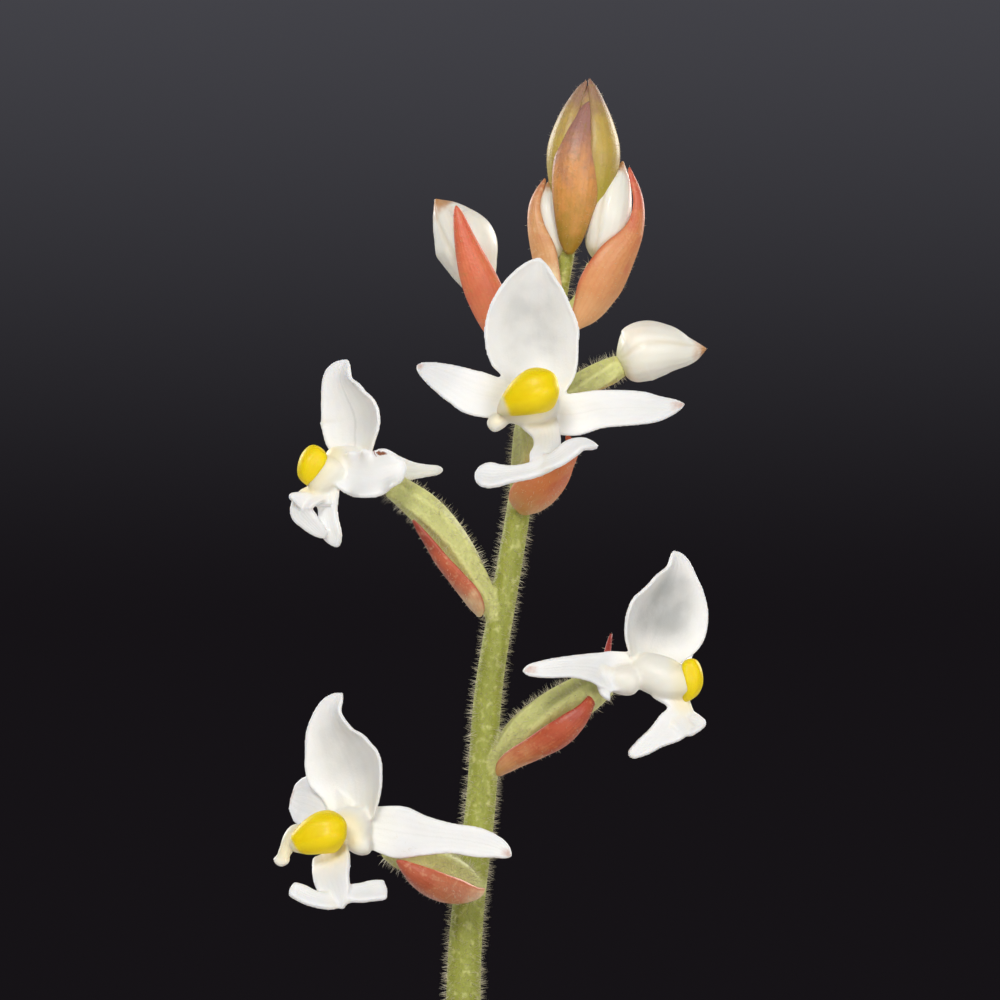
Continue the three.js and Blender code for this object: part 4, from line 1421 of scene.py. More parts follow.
@dataclass
class PottingMix:
    """Dark mix with bark chips and a few white grains, level below the pot's rim."""

    pot: Pot
    stems: dict[str, "LeafyStem"]
    level: float = 76.0
    relief: float = 1.4
    rings: int = 70
    spokes: int = 150
    gap: float = 0.3
    shore: float = 6.0  # width of the rim along which the relief fades
    sink: float = 0.5  # how much lower the mix lies at its edge
    rim_clear: float = 2.5  # of loose grains
    stem_clear: float = 1.8
    soil: CrumbFinish = CrumbFinish("mix", linear(34, 24, 17), linear(70, 50, 35), 1.6)
    bark: CrumbFinish = CrumbFinish("bark", linear(74, 48, 30), linear(128, 88, 58), 2.4)
    grit: CrumbFinish = CrumbFinish("grit", linear(196, 192, 182), linear(232, 230, 224), 1.0)

    def top(self) -> Form:
        """Shapes the mix's surface. Waves out of step with one another make its lumps.

        Returns:
            The surface, open below.
        """
        edge = self.pot.radius(self.level) - self.pot.wall - self.gap
        radius = np.linspace(0.02, 1, self.rings)[:, None] * edge
        turn = circle(self.spokes)[None]
        x, y = radius * np.cos(turn), radius * np.sin(turn)
        inward = np.minimum(1, (edge - radius) / self.shore)
        lumps = np.sin(0.55 * x + 1) * np.cos(0.47 * y) + 0.6 * np.sin(0.9 * (x - y))
        fine = 0.35 * np.sin(2.7 * x + 1.9 * y) * np.cos(2.3 * y - 1.1 * x)
        fine = fine + 0.2 * np.sin(5.1 * x) * np.sin(4.7 * y)
        z = self.level + (self.relief * lumps + fine) * inward - self.sink * (1 - inward)
        points = np.stack([x, y, z], -1).reshape(-1, 3)
        faces = []
        for i in range(self.rings - 1):
            for j in range(self.spokes):
                a = i * self.spokes + j
                b = i * self.spokes + (j + 1) % self.spokes
                faces.append((a, a + self.spokes, b + self.spokes, b))
        faces.append(tuple(range(self.spokes)))
        return Form(points, faces)

    def body(self) -> Form:
        """Closes the surface.

        Returns:
            The surface with its wall and underside.
        """
        top = self.top()
        outer = np.arange(self.spokes) + (self.rings - 1) * self.spokes
        low = self.pot.floor + self.gap
        foot = self.pot.radius(low) - self.pot.wall - 2 * self.pot.edge
        turn = circle(self.spokes)
        ring = np.stack([foot * np.cos(turn), foot * np.sin(turn), np.full(self.spokes, low)], -1)
        start = len(top.points)
        faces = list(top.faces)
        for j in range(self.spokes):
            k = (j + 1) % self.spokes
            faces.append((outer[j], start + j, start + k, outer[k]))
        faces.append(tuple(start + j for j in reversed(range(self.spokes))))
        return Form(np.vstack([top.points, ring]), faces)

    def open_ground(self) -> Form:
        """Leaves out what carries no loose grains.

        Returns:
            The part of the surface that is clear of the rim and the stems.
        """
        top = self.top()
        centre = np.array([top.points[list(face)].mean(0) for face in top.faces])
        edge = self.pot.radius(self.level) - self.pot.wall - self.rim_clear
        free = np.hypot(centre[:, 0], centre[:, 1]) < edge
        for stem in self.stems.values():
            x, y, _ = passing(stem.line, self.level)
            free &= np.hypot(centre[:, 0] - x, centre[:, 1] - y) > stem.radius[0] + self.stem_clear
        return Form(top.points, [face for face, keep in zip(top.faces, free) if keep])

    def build(self) -> None:
        """Shows the mix and its loose grains."""
        soil = self.soil.make()
        show("mix", self.body(), soil, "mix", "potting_mix")
        ground = self.open_ground()
        loose = {
            "bark_chips": (Scatter(0.11, 2.3, (1.0, 0.6, 0.3), 0.9, 2), self.bark.make()),
            "mix_crumbs": (Scatter(0.35, 0.9, (1.0, 0.8, 0.6), 0.5, 1, SEED + 1), soil),
            "white_grains": (Scatter(0.025, 1.0, (1.0, 0.9, 0.8), 0.4, 2, SEED + 2), self.grit.make()),
        }
        for name, (grains, material) in loose.items():
            place(name, grains.strewn(ground, material), material, "mix")


@dataclass(frozen=True)
class Leaf:
    """A leaf's node height, compass direction in degrees, length, rise and the droop of its end."""

    z: float
    turn: float
    length: float
    rise: float
    droop: float


@dataclass
class LeafyStem:
    """A fleshy stem with the leaves that clasp it.

    The leaves' lines are given at the stations `reach`, as shares of a leaf's length.
    """

    name: str
    line: list[Point]
    leaves: list[Leaf]
    radius: tuple[float, ...] = (4, 3.9, 3.7, 3.5, 3.2, 2.9)
    gap: float = 0.3
    leaf_thick: float = 0.9
    blade_thick: float = 0.7
    thin_edge: float = 0.6
    sheath: float = 6.0
    wrap: float = 1.15
    reach: tuple[float, ...] = (0, 0.01, 0.09, 0.2, 0.4, 0.6, 0.82, 1)
    lift: tuple[float, ...] = (0, 0, 0.45, 0.75, 1, 0.95, 0.6, 0)
    half: tuple[float, ...] = (0, 0, 0.032, 0.1, 0.25, 0.285, 0.19, 0.012)
    cup: tuple[float, ...] = (0, 0, 0.9, 0.4, 0.25, 0.2, 0.25, 0.3)
    face: tuple[float, float] = (-0.5, 0.85)  # outwards and up, of the upper side
    droop_from: float = 0.3
    wave: float = 0.9
    waves: float = 3.5
    stalk_end: Span = (0.22, 0.36)
    net_scale: float = 0.34
    net_shift: float = 100.0  # so that no two leaves have the same net
    node_width: float = 0.016
    node_height: float = 0.05
    rings: int = 150
    sides: int = 40
    voxel: float = 0.45
    rounds: int = 4

    def leaf_blade(self, leaf: Leaf) -> Blade:
        """Draws a leaf.

        Args:
            leaf: its measures.

        Returns:
            Its lines, from the foot of its sheath to its tip.
        """
        turn = math.radians(leaf.turn)
        cos, sin = math.cos(turn), math.sin(turn)
        share = passing(self.line, leaf.z)[2]
        stem = float(along(self.radius, np.array([share]))[0])
        clear = stem + self.gap + self.leaf_thick / 2
        rib = []
        for i, reach in enumerate(self.reach):
            z = leaf.z - self.sheath if i == 0 else leaf.z
            x, y, _ = passing(self.line, z)
            out = clear + reach * leaf.length
            sink = leaf.droop * max(0, reach - self.droop_from) ** 1.5
            rib.append((x + out * cos, y + out * sin, z + leaf.rise * self.lift[i] - sink))
        half = [share * leaf.length or self.wrap * clear for share in self.half]
        cup = [angle or self.wrap for angle in self.cup]
        outward, upward = self.face
        face = (outward * cos, outward * sin, upward)
        return Blade(Kind.LEAF, face, rib, half, cup, self.wave, self.waves)

    def swelling(self) -> Relief:
        """Rings that stand out a little at the leaves' nodes."""
        nodes = [passing(self.line, leaf.z - self.sheath + 1)[2] for leaf in self.leaves]

        def relief(share: np.ndarray, angle: np.ndarray) -> np.ndarray:
            """Factor on the stem's radius."""
            rings = sum(np.exp(-(((share - node) / self.node_width) ** 2)) for node in nodes)
            return 1 + self.node_height * rings - 0.02 + 0.006 * np.sin(7 * angle + 9 * share)

        return relief

    def build(self, stem_material: Material, leaf_material: Material) -> None:
        """Shows the stem and its leaves.

        Args:
            stem_material: the finish of the stem.
            leaf_material: the finish of the leaves.
        """
        body = rod(Rod(self.line, list(self.radius)), self.rings, self.sides, self.swelling())
        if self.name != "main":
            body = fused([body], self.voxel, self.rounds)
        show(f"leafy_stem_{self.name}", body, stem_material, "stem", f"stem_{self.name}")
        for number, leaf in enumerate(self.leaves, 1):
            form = blade(self.leaf_blade(leaf), self.blade_thick, self.thin_edge)
            length = form.marks["length"]
            stalk = 1 - smooth_step(*self.stalk_end, length)
            reach = length * leaf.length * self.net_scale + self.net_shift * number
            form = form.marked(stalk=stalk, reach=reach)
            name = f"{self.name}_{number}"
            show(f"velvet_leaf_{name}", form, leaf_material, "leaf", f"leaf_{name}")


@dataclass(frozen=True)
class SheathPlan:
    """A sheathing bract's foot height, length and compass direction in degrees."""

    z: float
    length: float
    turn: float


@dataclass
class FlowerStalk:
    """The hairy flower stalk, grown together with its ovaries, and its sheathing bracts."""

    line: list[Point]
    radius: tuple[float, ...] = (1.7, 1.65, 1.5, 1.35, 1.2, 1.08, 1, 0.9, 0.8, 0.6, 0.5)
    sheaths: tuple[SheathPlan, ...] = (
        SheathPlan(134, 19, 220),
        SheathPlan(153, 17, 20),
        SheathPlan(171, 14.5, 140),
    )
    sheath_half: tuple[float, ...] = (4.4, 4.3, 3.6, 2.2, 0.3)
    sheath_cup: tuple[float, ...] = (2.2, 2.1, 1.7, 1, 0.4)
    sheath_lean: float = 1.6
    sheath_thick: float = 0.45
    thin_edge: float = 0.5
    clear: float = 0.6  # from the stalk's skin to the middle of a sheath
    voxel: float = 0.14
    rounds: int = 4
    foot_end: Span = (126, 186)  # heights between which the foot's colour fades
    fuzz_start: Span = (124, 150)  # heights between which the hairs begin
    smooth_ovary: float = 0.25  # share of the hairs that an ovary lacks
    finish: StalkFinish = StalkFinish()
    hairs: Fuzz = field(default_factory=lambda: Fuzz(20, 0.58, 0.018, 0.45))

    @staticmethod
    def ribs(share: np.ndarray, angle: np.ndarray) -> np.ndarray:
        """An ovary's six twisted ribs, as a factor on its radius."""
        fade = np.clip(np.minimum(share, 1 - share) * 6, 0, 1)
        return 1 + 0.075 * np.cos(6 * (angle + 1.1 * share)) * fade - 0.02

    def sheath_blade(self, sheath: SheathPlan) -> Blade:
        """Draws a sheath.

        Args:
            sheath: its measures.

        Returns:
            Its lines, from its foot to its tip.
        """
        turn = math.radians(sheath.turn)
        cos, sin = math.cos(turn), math.sin(turn)
        rib = []
        for share in np.linspace(0, 1, len(self.sheath_half)):
            z = sheath.z + share * sheath.length
            x, y, part = passing(self.line, z)
            radius = float(along(self.radius, np.array([part]))[0])
            out = radius + self.clear + self.sheath_lean * share**3
            rib.append((x + out * cos, y + out * sin, z))
        return Blade(Kind.SHEATH, (-cos, -sin, 0), rib, list(self.sheath_half), list(self.sheath_cup))

    def flesh(self, ovaries: list[Rod]) -> Form:
        """Grows stalk and ovaries into one body.

        Args:
            ovaries: their lines.

        Returns:
            The body with the marks `ovary`, `low` and `fuzz`.
        """
        stalk = rod(Rod(self.line, list(self.radius)), 260, 30).marked(ovary=0.0)
        bodies = [rod(ovary, 60, 48, self.ribs).marked(ovary=1.0) for ovary in ovaries]
        form = fused([stalk, *bodies], self.voxel, self.rounds)
        low = 1 - smooth_step(*self.foot_end, form.points[:, 2])
        fuzz = smooth_step(*self.fuzz_start, form.points[:, 2])
        return form.marked(low=low, fuzz=fuzz * (1 - self.smooth_ovary * form.marks["ovary"]))

    def build(self, ovaries: list[Rod], hair: Material) -> None:
        """Shows the stalk, its hairs and its sheaths.

        Args:
            ovaries: the ovaries' lines.
            hair: the finish of the hairs.
        """
        form = self.flesh(ovaries)
        show("hairy_stalk", form, self.finish.make(), "stalk", "flower_stalk")
        place("stalk_hairs", self.hairs.grown(form, hair), hair, "stalk")
        finish = BractTone.SHEATH.value.make()
        for number, sheath in enumerate(self.sheaths, 1):
            body = blade(self.sheath_blade(sheath), self.sheath_thick, self.thin_edge)
            show(f"stalk_bract_{number}", body, finish, "bract", f"stalk_sheath_{number}")


class BractTone(Enum):
    """Colours of the spike's bracts, from the foot of each to its rim."""

    FRONT = BractFinish(
        "bract_front", linear(222, 164, 104), linear(228, 136, 80), linear(206, 84, 50),
        linear(224, 140, 92), linear(222, 120, 84),
    )
    LEFT = BractFinish(
        "bract_left", linear(238, 206, 160), linear(198, 98, 64), linear(150, 58, 42),
        linear(206, 116, 80), linear(188, 80, 54),
    )
    RIGHT = BractFinish(
        "bract_right", linear(228, 166, 112), linear(196, 94, 60), linear(158, 42, 32),
        linear(212, 120, 80), linear(180, 66, 46),
    )
    LOWER = BractFinish(
        "bract_lower", linear(246, 204, 156), linear(214, 128, 90), linear(190, 88, 60),
        linear(232, 156, 108), linear(206, 104, 70),
    )
    BUD_LEFT = BractFinish(
        "bract_bud_left", linear(206, 150, 84), linear(238, 136, 94), linear(226, 106, 76),
        linear(232, 144, 104), linear(212, 92, 64),
    )
    BUD_RIGHT = BractFinish(
        "bract_bud_right", linear(222, 186, 126), linear(222, 130, 84), linear(176, 78, 54),
        linear(220, 144, 98), linear(160, 70, 48),
    )
    UPPER_RIGHT = BractFinish(
        "bract_upper_right", linear(234, 176, 122), linear(226, 154, 98), linear(212, 100, 76),
        linear(230, 164, 112), linear(214, 110, 80),
    )
    UPPER_LEFT = BractFinish(
        "bract_upper_left", linear(246, 224, 180), linear(226, 168, 114), linear(206, 136, 94),
        linear(232, 184, 128), linear(206, 140, 96),
    )
    TIP_FRONT = BractFinish(
        "bract_tip_front", linear(166, 132, 36), linear(232, 160, 88), linear(168, 120, 110),
        linear(206, 142, 92), linear(176, 120, 76), 0.32,
    )
    TIP_SIDE = BractFinish(
        "bract_tip_side", linear(176, 160, 52), linear(202, 172, 82), linear(164, 126, 106),
        linear(200, 168, 92), linear(180, 144, 104), 0.42,
    )
    SHEATH = BractFinish(
        "bract_sheath", linear(142, 110, 66), linear(158, 92, 62), linear(118, 58, 42),
        linear(150, 92, 66), linear(92, 44, 32),
    )


@dataclass
class Bloom:
    """An open flower: hood, lateral sepals and twisted lip grown together, its cap and its bract."""

    name: str
    plan: FlowerPlan
    petal_thick: float = 0.38
    petal_edge: float = 0.35  # share of the thickness that is gone at an edge
    lip_thick: float = 0.5
    inner: Span = (0.5, 0.9)  # these spans go by the share across or along a petal
    tip: Span = (0.8, 0.97)
    # the next three spans place the painted shade that greys a petal's middle
    middle_start: Span = (0.12, 0.35)
    middle_end: Span = (0.6, 0.92)
    shade_across: Span = (0.3, 0.95)
    foot: Span = (0.0, 0.25)
    sepal_shade: float = 0.12
    sepal_crease_shade: float = 0.25
    foot_cream: float = 0.35
    heart_cream: float = 0.4
    scar_spread: Point = (0.75, 1.6, 0.26)
    warm_reach: float = 1.1  # of the cap's yellow into the flesh round it
    warm_share: float = 0.4
    stations: int = 12  # of the cap, from which that reach is taken
    pale_cap: Span = (0.45, 0.9)
    voxel: float = 0.1
    cap_voxel: float = 0.09

    def petal(self, shape: Blade) -> Form:
        """Makes a petal.

        Args:
            shape: its lines.

        Returns:
            The petal with its marks of cream, painted shade in its middle and along its crease, and tip.
        """
        lip = shape.kind in (Kind.CLAW, Kind.LOBE)
        form = blade(shape, self.lip_thick if lip else self.petal_thick, self.petal_edge)
        length, edge = form.marks["length"], np.abs(form.marks["across"])
        inner = form.marks["upper"] * (1 - smooth_step(*self.inner, edge))
        hood = shape.kind is Kind.HOOD
        tip = smooth_step(*self.tip, length) * inner * (shape.kind is Kind.SEPAL)
        # painted shade that greys the hollow middle of the hood, and a little of each sepal
        middle = smooth_step(*self.middle_start, length) * (1 - smooth_step(*self.middle_end, length))
        shade = self.plan.shade if hood else self.sepal_shade
        thin = middle * (1 - smooth_step(*self.shade_across, edge)) * shade
        foot = 1 - smooth_step(*self.foot, length)
        # painted shade along the midrib crease of hood and sepals
        rib = self.plan.crease_shade if hood else self.sepal_crease_shade * (not lip)
        return form.marked(tip=tip, thin=thin, cream=foot * self.foot_cream, soft=foot, rib=rib)

    def flesh(self) -> Form:
        """Grows the petals together round the heart.

        Returns:
            The flower without its cap, with the marks `warm` near the cap and `scar`.
        """
        plan = self.plan
        marks = {"cream": self.heart_cream, "soft": 1.0}
        heart = [rod(body, 24, 32, None, 0.25).marked(**marks) for body in plan.flesh]
        form = fused([*heart, *[self.petal(shape) for shape in plan.petals]], self.voxel, 6, 14)
        shares = np.linspace(0, 1, self.stations)
        line, radius = along(plan.cap.rib, shares), along(plan.cap.radius, shares)
        gap = (np.linalg.norm(form.points[:, None] - line[None], axis=2) - radius.ravel()[None]).min(1)
        form = form.marked(warm=self.warm_share * (1 - smooth_step(0.0, self.warm_reach, gap)))
        if plan.scar is None:
            return form.marked(scar=0.0)
        away = (form.points - np.array(plan.scar)) / np.array(self.scar_spread)
        return form.marked(scar=np.exp(-(away**2).sum(1)))

    def cap(self) -> Form:
        """Shapes the anther cap.

        Returns:
            The cap round the flower's heart, with the mark `cream`.
        """

        def relief(share: np.ndarray, angle: np.ndarray) -> np.ndarray:
            """Factor on the cap's radius: a furrow along it and a few soft dents."""
            return 1 - 0.1 * np.exp(-(((angle - 4.4) / 0.3) ** 2)) + 0.03 * np.sin(9 * share + 3 * angle)

        form = rod(self.plan.cap, 40, 40, relief, 0.22)
        reach = (form.points - form.points.mean(0)) @ np.array(self.plan.cap_pale, float)
        pale = smooth_step(*self.pale_cap, reach / reach.max())
        return fused([form.marked(cream=pale)], self.cap_voxel, 12)

    def build(self, petal: Material, cap: Material) -> None:
        """Shows the flower, its cap and its bract.

        Args:
            petal: the finish of the flower.
            cap: the finish of the cap.
        """
        name, heart = self.name, self.plan.heart
        show(f"bloom_{name}", self.flesh().moved(heart), petal, "petal", f"flower_{name}")
        show(f"yellow_cap_{name}", self.cap().moved(heart), cap, "anther_cap", f"anther_cap_{name}")
        bract = bract_form(self.plan.bract)
        show(f"red_bract_{name}", bract, self.plan.tone.value.make(), "bract", f"bract_{name}")


@dataclass
class Bud:
    """A closed bud in its bract."""

    name: str
    plan: BudPlan
    rounded: float = 0.14

    @staticmethod
    def seams(share: np.ndarray, angle: np.ndarray) -> np.ndarray:
        """Three grooves where the bud's sepals meet, as a factor on its radius."""
        apart = np.abs((angle + 0.5 * share + 0.6) % (2 * np.pi / 3) - np.pi / 3)
        return 1 - 0.045 * np.exp(-((apart / 0.11) ** 2)) * np.clip(share * 5, 0, 1)

    def build(self, white: Material) -> None:
        """Shows the bud and its bract."""
        form = rod(self.plan.bud, 80, 72, self.seams, self.rounded)
        show(f"white_bud_{self.name}", form, white, "petal", f"bud_{self.name}")
        bract = bract_form(self.plan.bract)
        node = f"bud_bract_{self.name}"
        show(f"red_bud_bract_{self.name}", bract, self.plan.tone.value.make(), "bract", node)


@dataclass
class SpikeTip:
    """The cone of bracts round the youngest bud."""

    bracts: dict[str, Blade]
    bud: Rod

    def build(self) -> None:
        """Shows the young bud and the bracts round it."""
        side = BractTone.TIP_SIDE.value.make()
        front = BractTone.TIP_FRONT.value.make()
        core = rod(self.bud, 40, 32, None, 0.2).marked(across=0.0, upper=0.0)
        show("young_bud", core, side, "tip_bract", "tip_bud")
        for name, shape in self.bracts.items():
            finish = front if name in ("front", "back") else side
            show(f"cone_bract_{name}", bract_form(shape), finish, "tip_bract", f"tip_bract_{name}")


@dataclass
class BractDown:
    """Short glandular hairs on the bracts of the spike."""

    shapes: list[Blade]
    start: Span = (0.02, 0.1)  # shares of the length between which they begin
    bare_inside: float = 0.75  # share of them that the upper side lacks
    hairs: Fuzz = field(default_factory=lambda: Fuzz(5, 0.24, 0.014, 0.5, SEED + 5))

    def build(self, hair: Material) -> None:
        """Shows the hairs of all bracts as one piece."""
        form = Form.joined([bract_form(shape) for shape in self.shapes])
        begun = smooth_step(*self.start, form.marks["length"])
        form = form.marked(fuzz=begun * (1 - self.bare_inside * form.marks["upper"]))
        place("bract_down", self.hairs.grown(form, hair), hair, "bract")


@dataclass(frozen=True)
class Lamp:
    """A soft square light: its place in metres, watts, width in metres and tint."""

    name: str
    place: Point
    watts: float
    width: float
    tint: Colour


@dataclass
class Studio:
    """Pale floor, soft lights and the camera of the photograph."""

    distance: float = 250.0
    eye: tuple[float, float] = (2.5, 226.0)  # X and Z of the camera, in millimetres
    lens: float = 125.0
    clip: tuple[float, float] = (0.01, 20.0)
    floor_radius: float = 1.1
    floor_height: float = -0.0004
    floor_sides: int = 96
    floor_colour: Colour = linear(205, 203, 200)
    floor_grey: Colour = (0.5, 0.5, 0.5)
    sky_low: tuple[float, ...] = (0.0080, 0.0066, 0.0084, 1)
    sky_high: tuple[float, ...] = (0.068, 0.068, 0.080, 1)
    sky_span: Span = (-0.04, 0.22)
    aim: Point = (0.0, 0.0, 0.222)
    lamps: tuple[Lamp, ...] = (
        Lamp("key", (-0.2, -0.75, 0.7), 4.6, 0.3, (1.0, 0.985, 0.96)),
        Lamp("fill", (0.4, -0.8, 0.3), 2.7, 0.4, (1.0, 0.995, 0.98)),
        Lamp("rim_left", (-0.5, 0.45, 0.5), 3.2, 0.3, (0.97, 0.98, 1.0)),
        Lamp("rim_right", (0.5, 0.45, 0.45), 3.2, 0.3, (1.0, 0.98, 0.95)),
    )

    def floor(self) -> None:
        """A round floor with a little grain."""
        size, height = self.floor_radius, self.floor_height
        points = [(size * math.cos(a), size * math.sin(a), height) for a in circle(self.floor_sides)]
        mesh = bpy.data.meshes.new("floor")
        mesh.from_pydata(points, [], [tuple(range(self.floor_sides))])
        skin = Shader("floor", roughness=0.85)
        mottle = skin.times(skin.noise(30, 4), 0.2)
        skin.set("Base Color", skin.mix(mottle, self.floor_colour, self.floor_grey))
        skin.bump(skin.noise(2), depth=0.15, strength=0.4)
        mesh.materials.append(skin.material)
        linked("floor", mesh)

    def light(self, lamp: Lamp) -> None:
        """Adds a lamp that looks at the spike."""
        data = bpy.data.lights.new(lamp.name, "AREA")
        data.energy = lamp.watts
        data.size = lamp.width
        data.color = lamp.tint
        thing = linked(lamp.name, data)
        thing.location = lamp.place
        thing.rotation_euler = (Vector(self.aim) - Vector(lamp.place)).to_track_quat("-Z", "Y").to_euler()

    def sky(self) -> None:
        """Dim surroundings, darkest below."""
        world = bpy.data.worlds.new("studio")
        world.use_nodes = True
        tree = world.node_tree
        place = tree.nodes.new("ShaderNodeTexCoord")
        parts = tree.nodes.new("ShaderNodeSeparateXYZ")
        height = tree.nodes.new("ShaderNodeMapRange")
        ramp = tree.nodes.new("ShaderNodeMix")
        ramp.data_type = "RGBA"
        ramp.inputs[6].default_value = self.sky_low
        ramp.inputs[7].default_value = self.sky_high
        tree.links.new(place.outputs["Generated"], parts.inputs[0])
        tree.links.new(parts.outputs["Z"], height.inputs[0])
        height.interpolation_type = "SMOOTHSTEP"
        height.inputs[1].default_value, height.inputs[2].default_value = self.sky_span
        tree.links.new(height.outputs[0], ramp.inputs[0])
        tree.links.new(ramp.outputs[2], tree.nodes["Background"].inputs[0])
        bpy.context.scene.world = world

    def camera(self) -> None:
        """The camera, level with the flowers."""
        lens = bpy.data.cameras.new("camera")
        lens.lens = self.lens
        lens.clip_start, lens.clip_end = self.clip
        thing = linked("camera", lens)
        thing.location = (self.eye[0] * METRE, -self.distance * METRE, self.eye[1] * METRE)
        thing.rotation_euler = (math.pi / 2, 0, 0)
        bpy.context.scene.camera = thing

    def build(self) -> None:
        """Adds floor, lights, surroundings and camera."""
        self.floor()
        for lamp in self.lamps:
            self.light(lamp)
        self.sky()
        self.camera()
        bpy.context.scene.view_settings.view_transform = "Standard"


FRONT_FLOWER = FlowerPlan(
    heart=(4.9, -9, 232.6), tone=BractTone.FRONT, cap_pale=(-1, 0, -0.4), shade=0.6, crease_shade=0.0,
    ovary=Rod(radius=[0.75, 1.05, 1.2, 1.1],
        rib=[(3.9, 0, 225.8), (4.3, -3.3, 228.2), (4.7, -6, 230.6), (4.85, -7.7, 231.8)]),
    flesh=[
        Rod(radius=[1.4, 1.6, 1.2, 0.6],
            rib=[(0.3, 0.9, -0.4), (0, -0.4, 0), (-1.2, -0.9, -0.3), (-2.5, -0.7, -0.8)]),
        Rod(radius=[0.6, 0.62, 0.5], rib=[(-1.98, -0.7, -0.79), (-2.68, -0.8, -1.27), (-3.23, -0.8, -1.62)]),
    ],
    petals=[
        Blade(Kind.HOOD, (0, -1, 0), cup=0.8, half=[1.9, 3.1, 3.62, 3.35, 2.2, 0.5],
            rib=[(0.1, 0.9, 0.3), (0.2, 1.5, 2.3), (-0.15, 1.9, 4.5), (-0.2, 1.7, 6.6), (0.02, 1, 8.7),
            (0.32, 0.1, 10.2)]),
        Blade(Kind.SEPAL, (0, -1, 0.2), cup=0.2, half=[1.2, 1.6, 1.4, 1.15, 0.75, 0.25],
            rib=[(-0.9, 0.4, 0.2), (-3.8, 0, 0.7), (-5.2, 0.2, 1.3), (-6.2, 0.6, 1.8), (-7.3, 1.2, 2.35),
            (-8.2, 1.9, 2.8)]),
        Blade(Kind.SEPAL, (0, -1, 0.15), cup=0.2, half=[1.3, 1.5, 1.35, 1.2, 0.9, 0.25],
            rib=[(0.7, 0.4, -0.4), (2.5, 0.2, -0.7), (4.6, 0.2, -0.3), (7.2, 0.7, -0.2), (8.7, 1.2, -0.2),
            (10.5, 2, 0.1)]),
        Blade(Kind.CLAW, (0, -0.8, 0.6), half=[1.45, 1, 0.92, 0.9, 0.6],
            rib=[(0.23, -0.6, -1.06), (0.76, -2.2, -2.06), (0.81, -3.6, -2.98), (0.45, -4.4, -3.75),
            (0.1, -4.7, -4.3)]),
        Blade(Kind.LOBE, (0, -0.8, 0.5), cup=0.35, half=[0.75, 0.62, 0.68, 1, 1.05],
            rib=[(1, -4.6, -4.08), (-0.36, -4.9, -4.63), (-1.72, -5.1, -4.87), (-2.94, -5.1, -4.97),
            (-4.1, -4.9, -4.83)]),
        Blade(Kind.LOBE, (0, -0.75, 0.6), cup=0.3, half=[0.75, 0.65, 0.72, 0.5, 0.3],
            rib=[(0.19, -4.6, -4.29), (1.41, -4.9, -3.88), (2.43, -4.9, -3.13), (3.25, -4.8, -2.79),
            (4.27, -4.5, -2.99)]),
    ],
    cap=Rod(radius=[0.4, 0.85, 1.35, 1.6, 1.4, 0.8],
        rib=[(-2.61, -1.9, -0.61), (-1.78, -2.2, -0.07), (-0.82, -2.5, 0.47), (0.14, -2.6, 0.88),
        (0.9, -2.4, 1.1), (1.38, -2.1, 1.17)]),
    bract=Blade(Kind.BRACT, (0, 0.5, 0.8), cup=1, half=[1.3, 1.95, 2, 1.5, 0.75, 0.2],
        rib=[(4.2, -1.3, 225), (4.8, -3.2, 225.6), (5.6, -5.2, 226.7), (6.5, -6.7, 228), (7.39, -7.6, 229.28),
        (7.19, -7.2, 230.48)]),
)

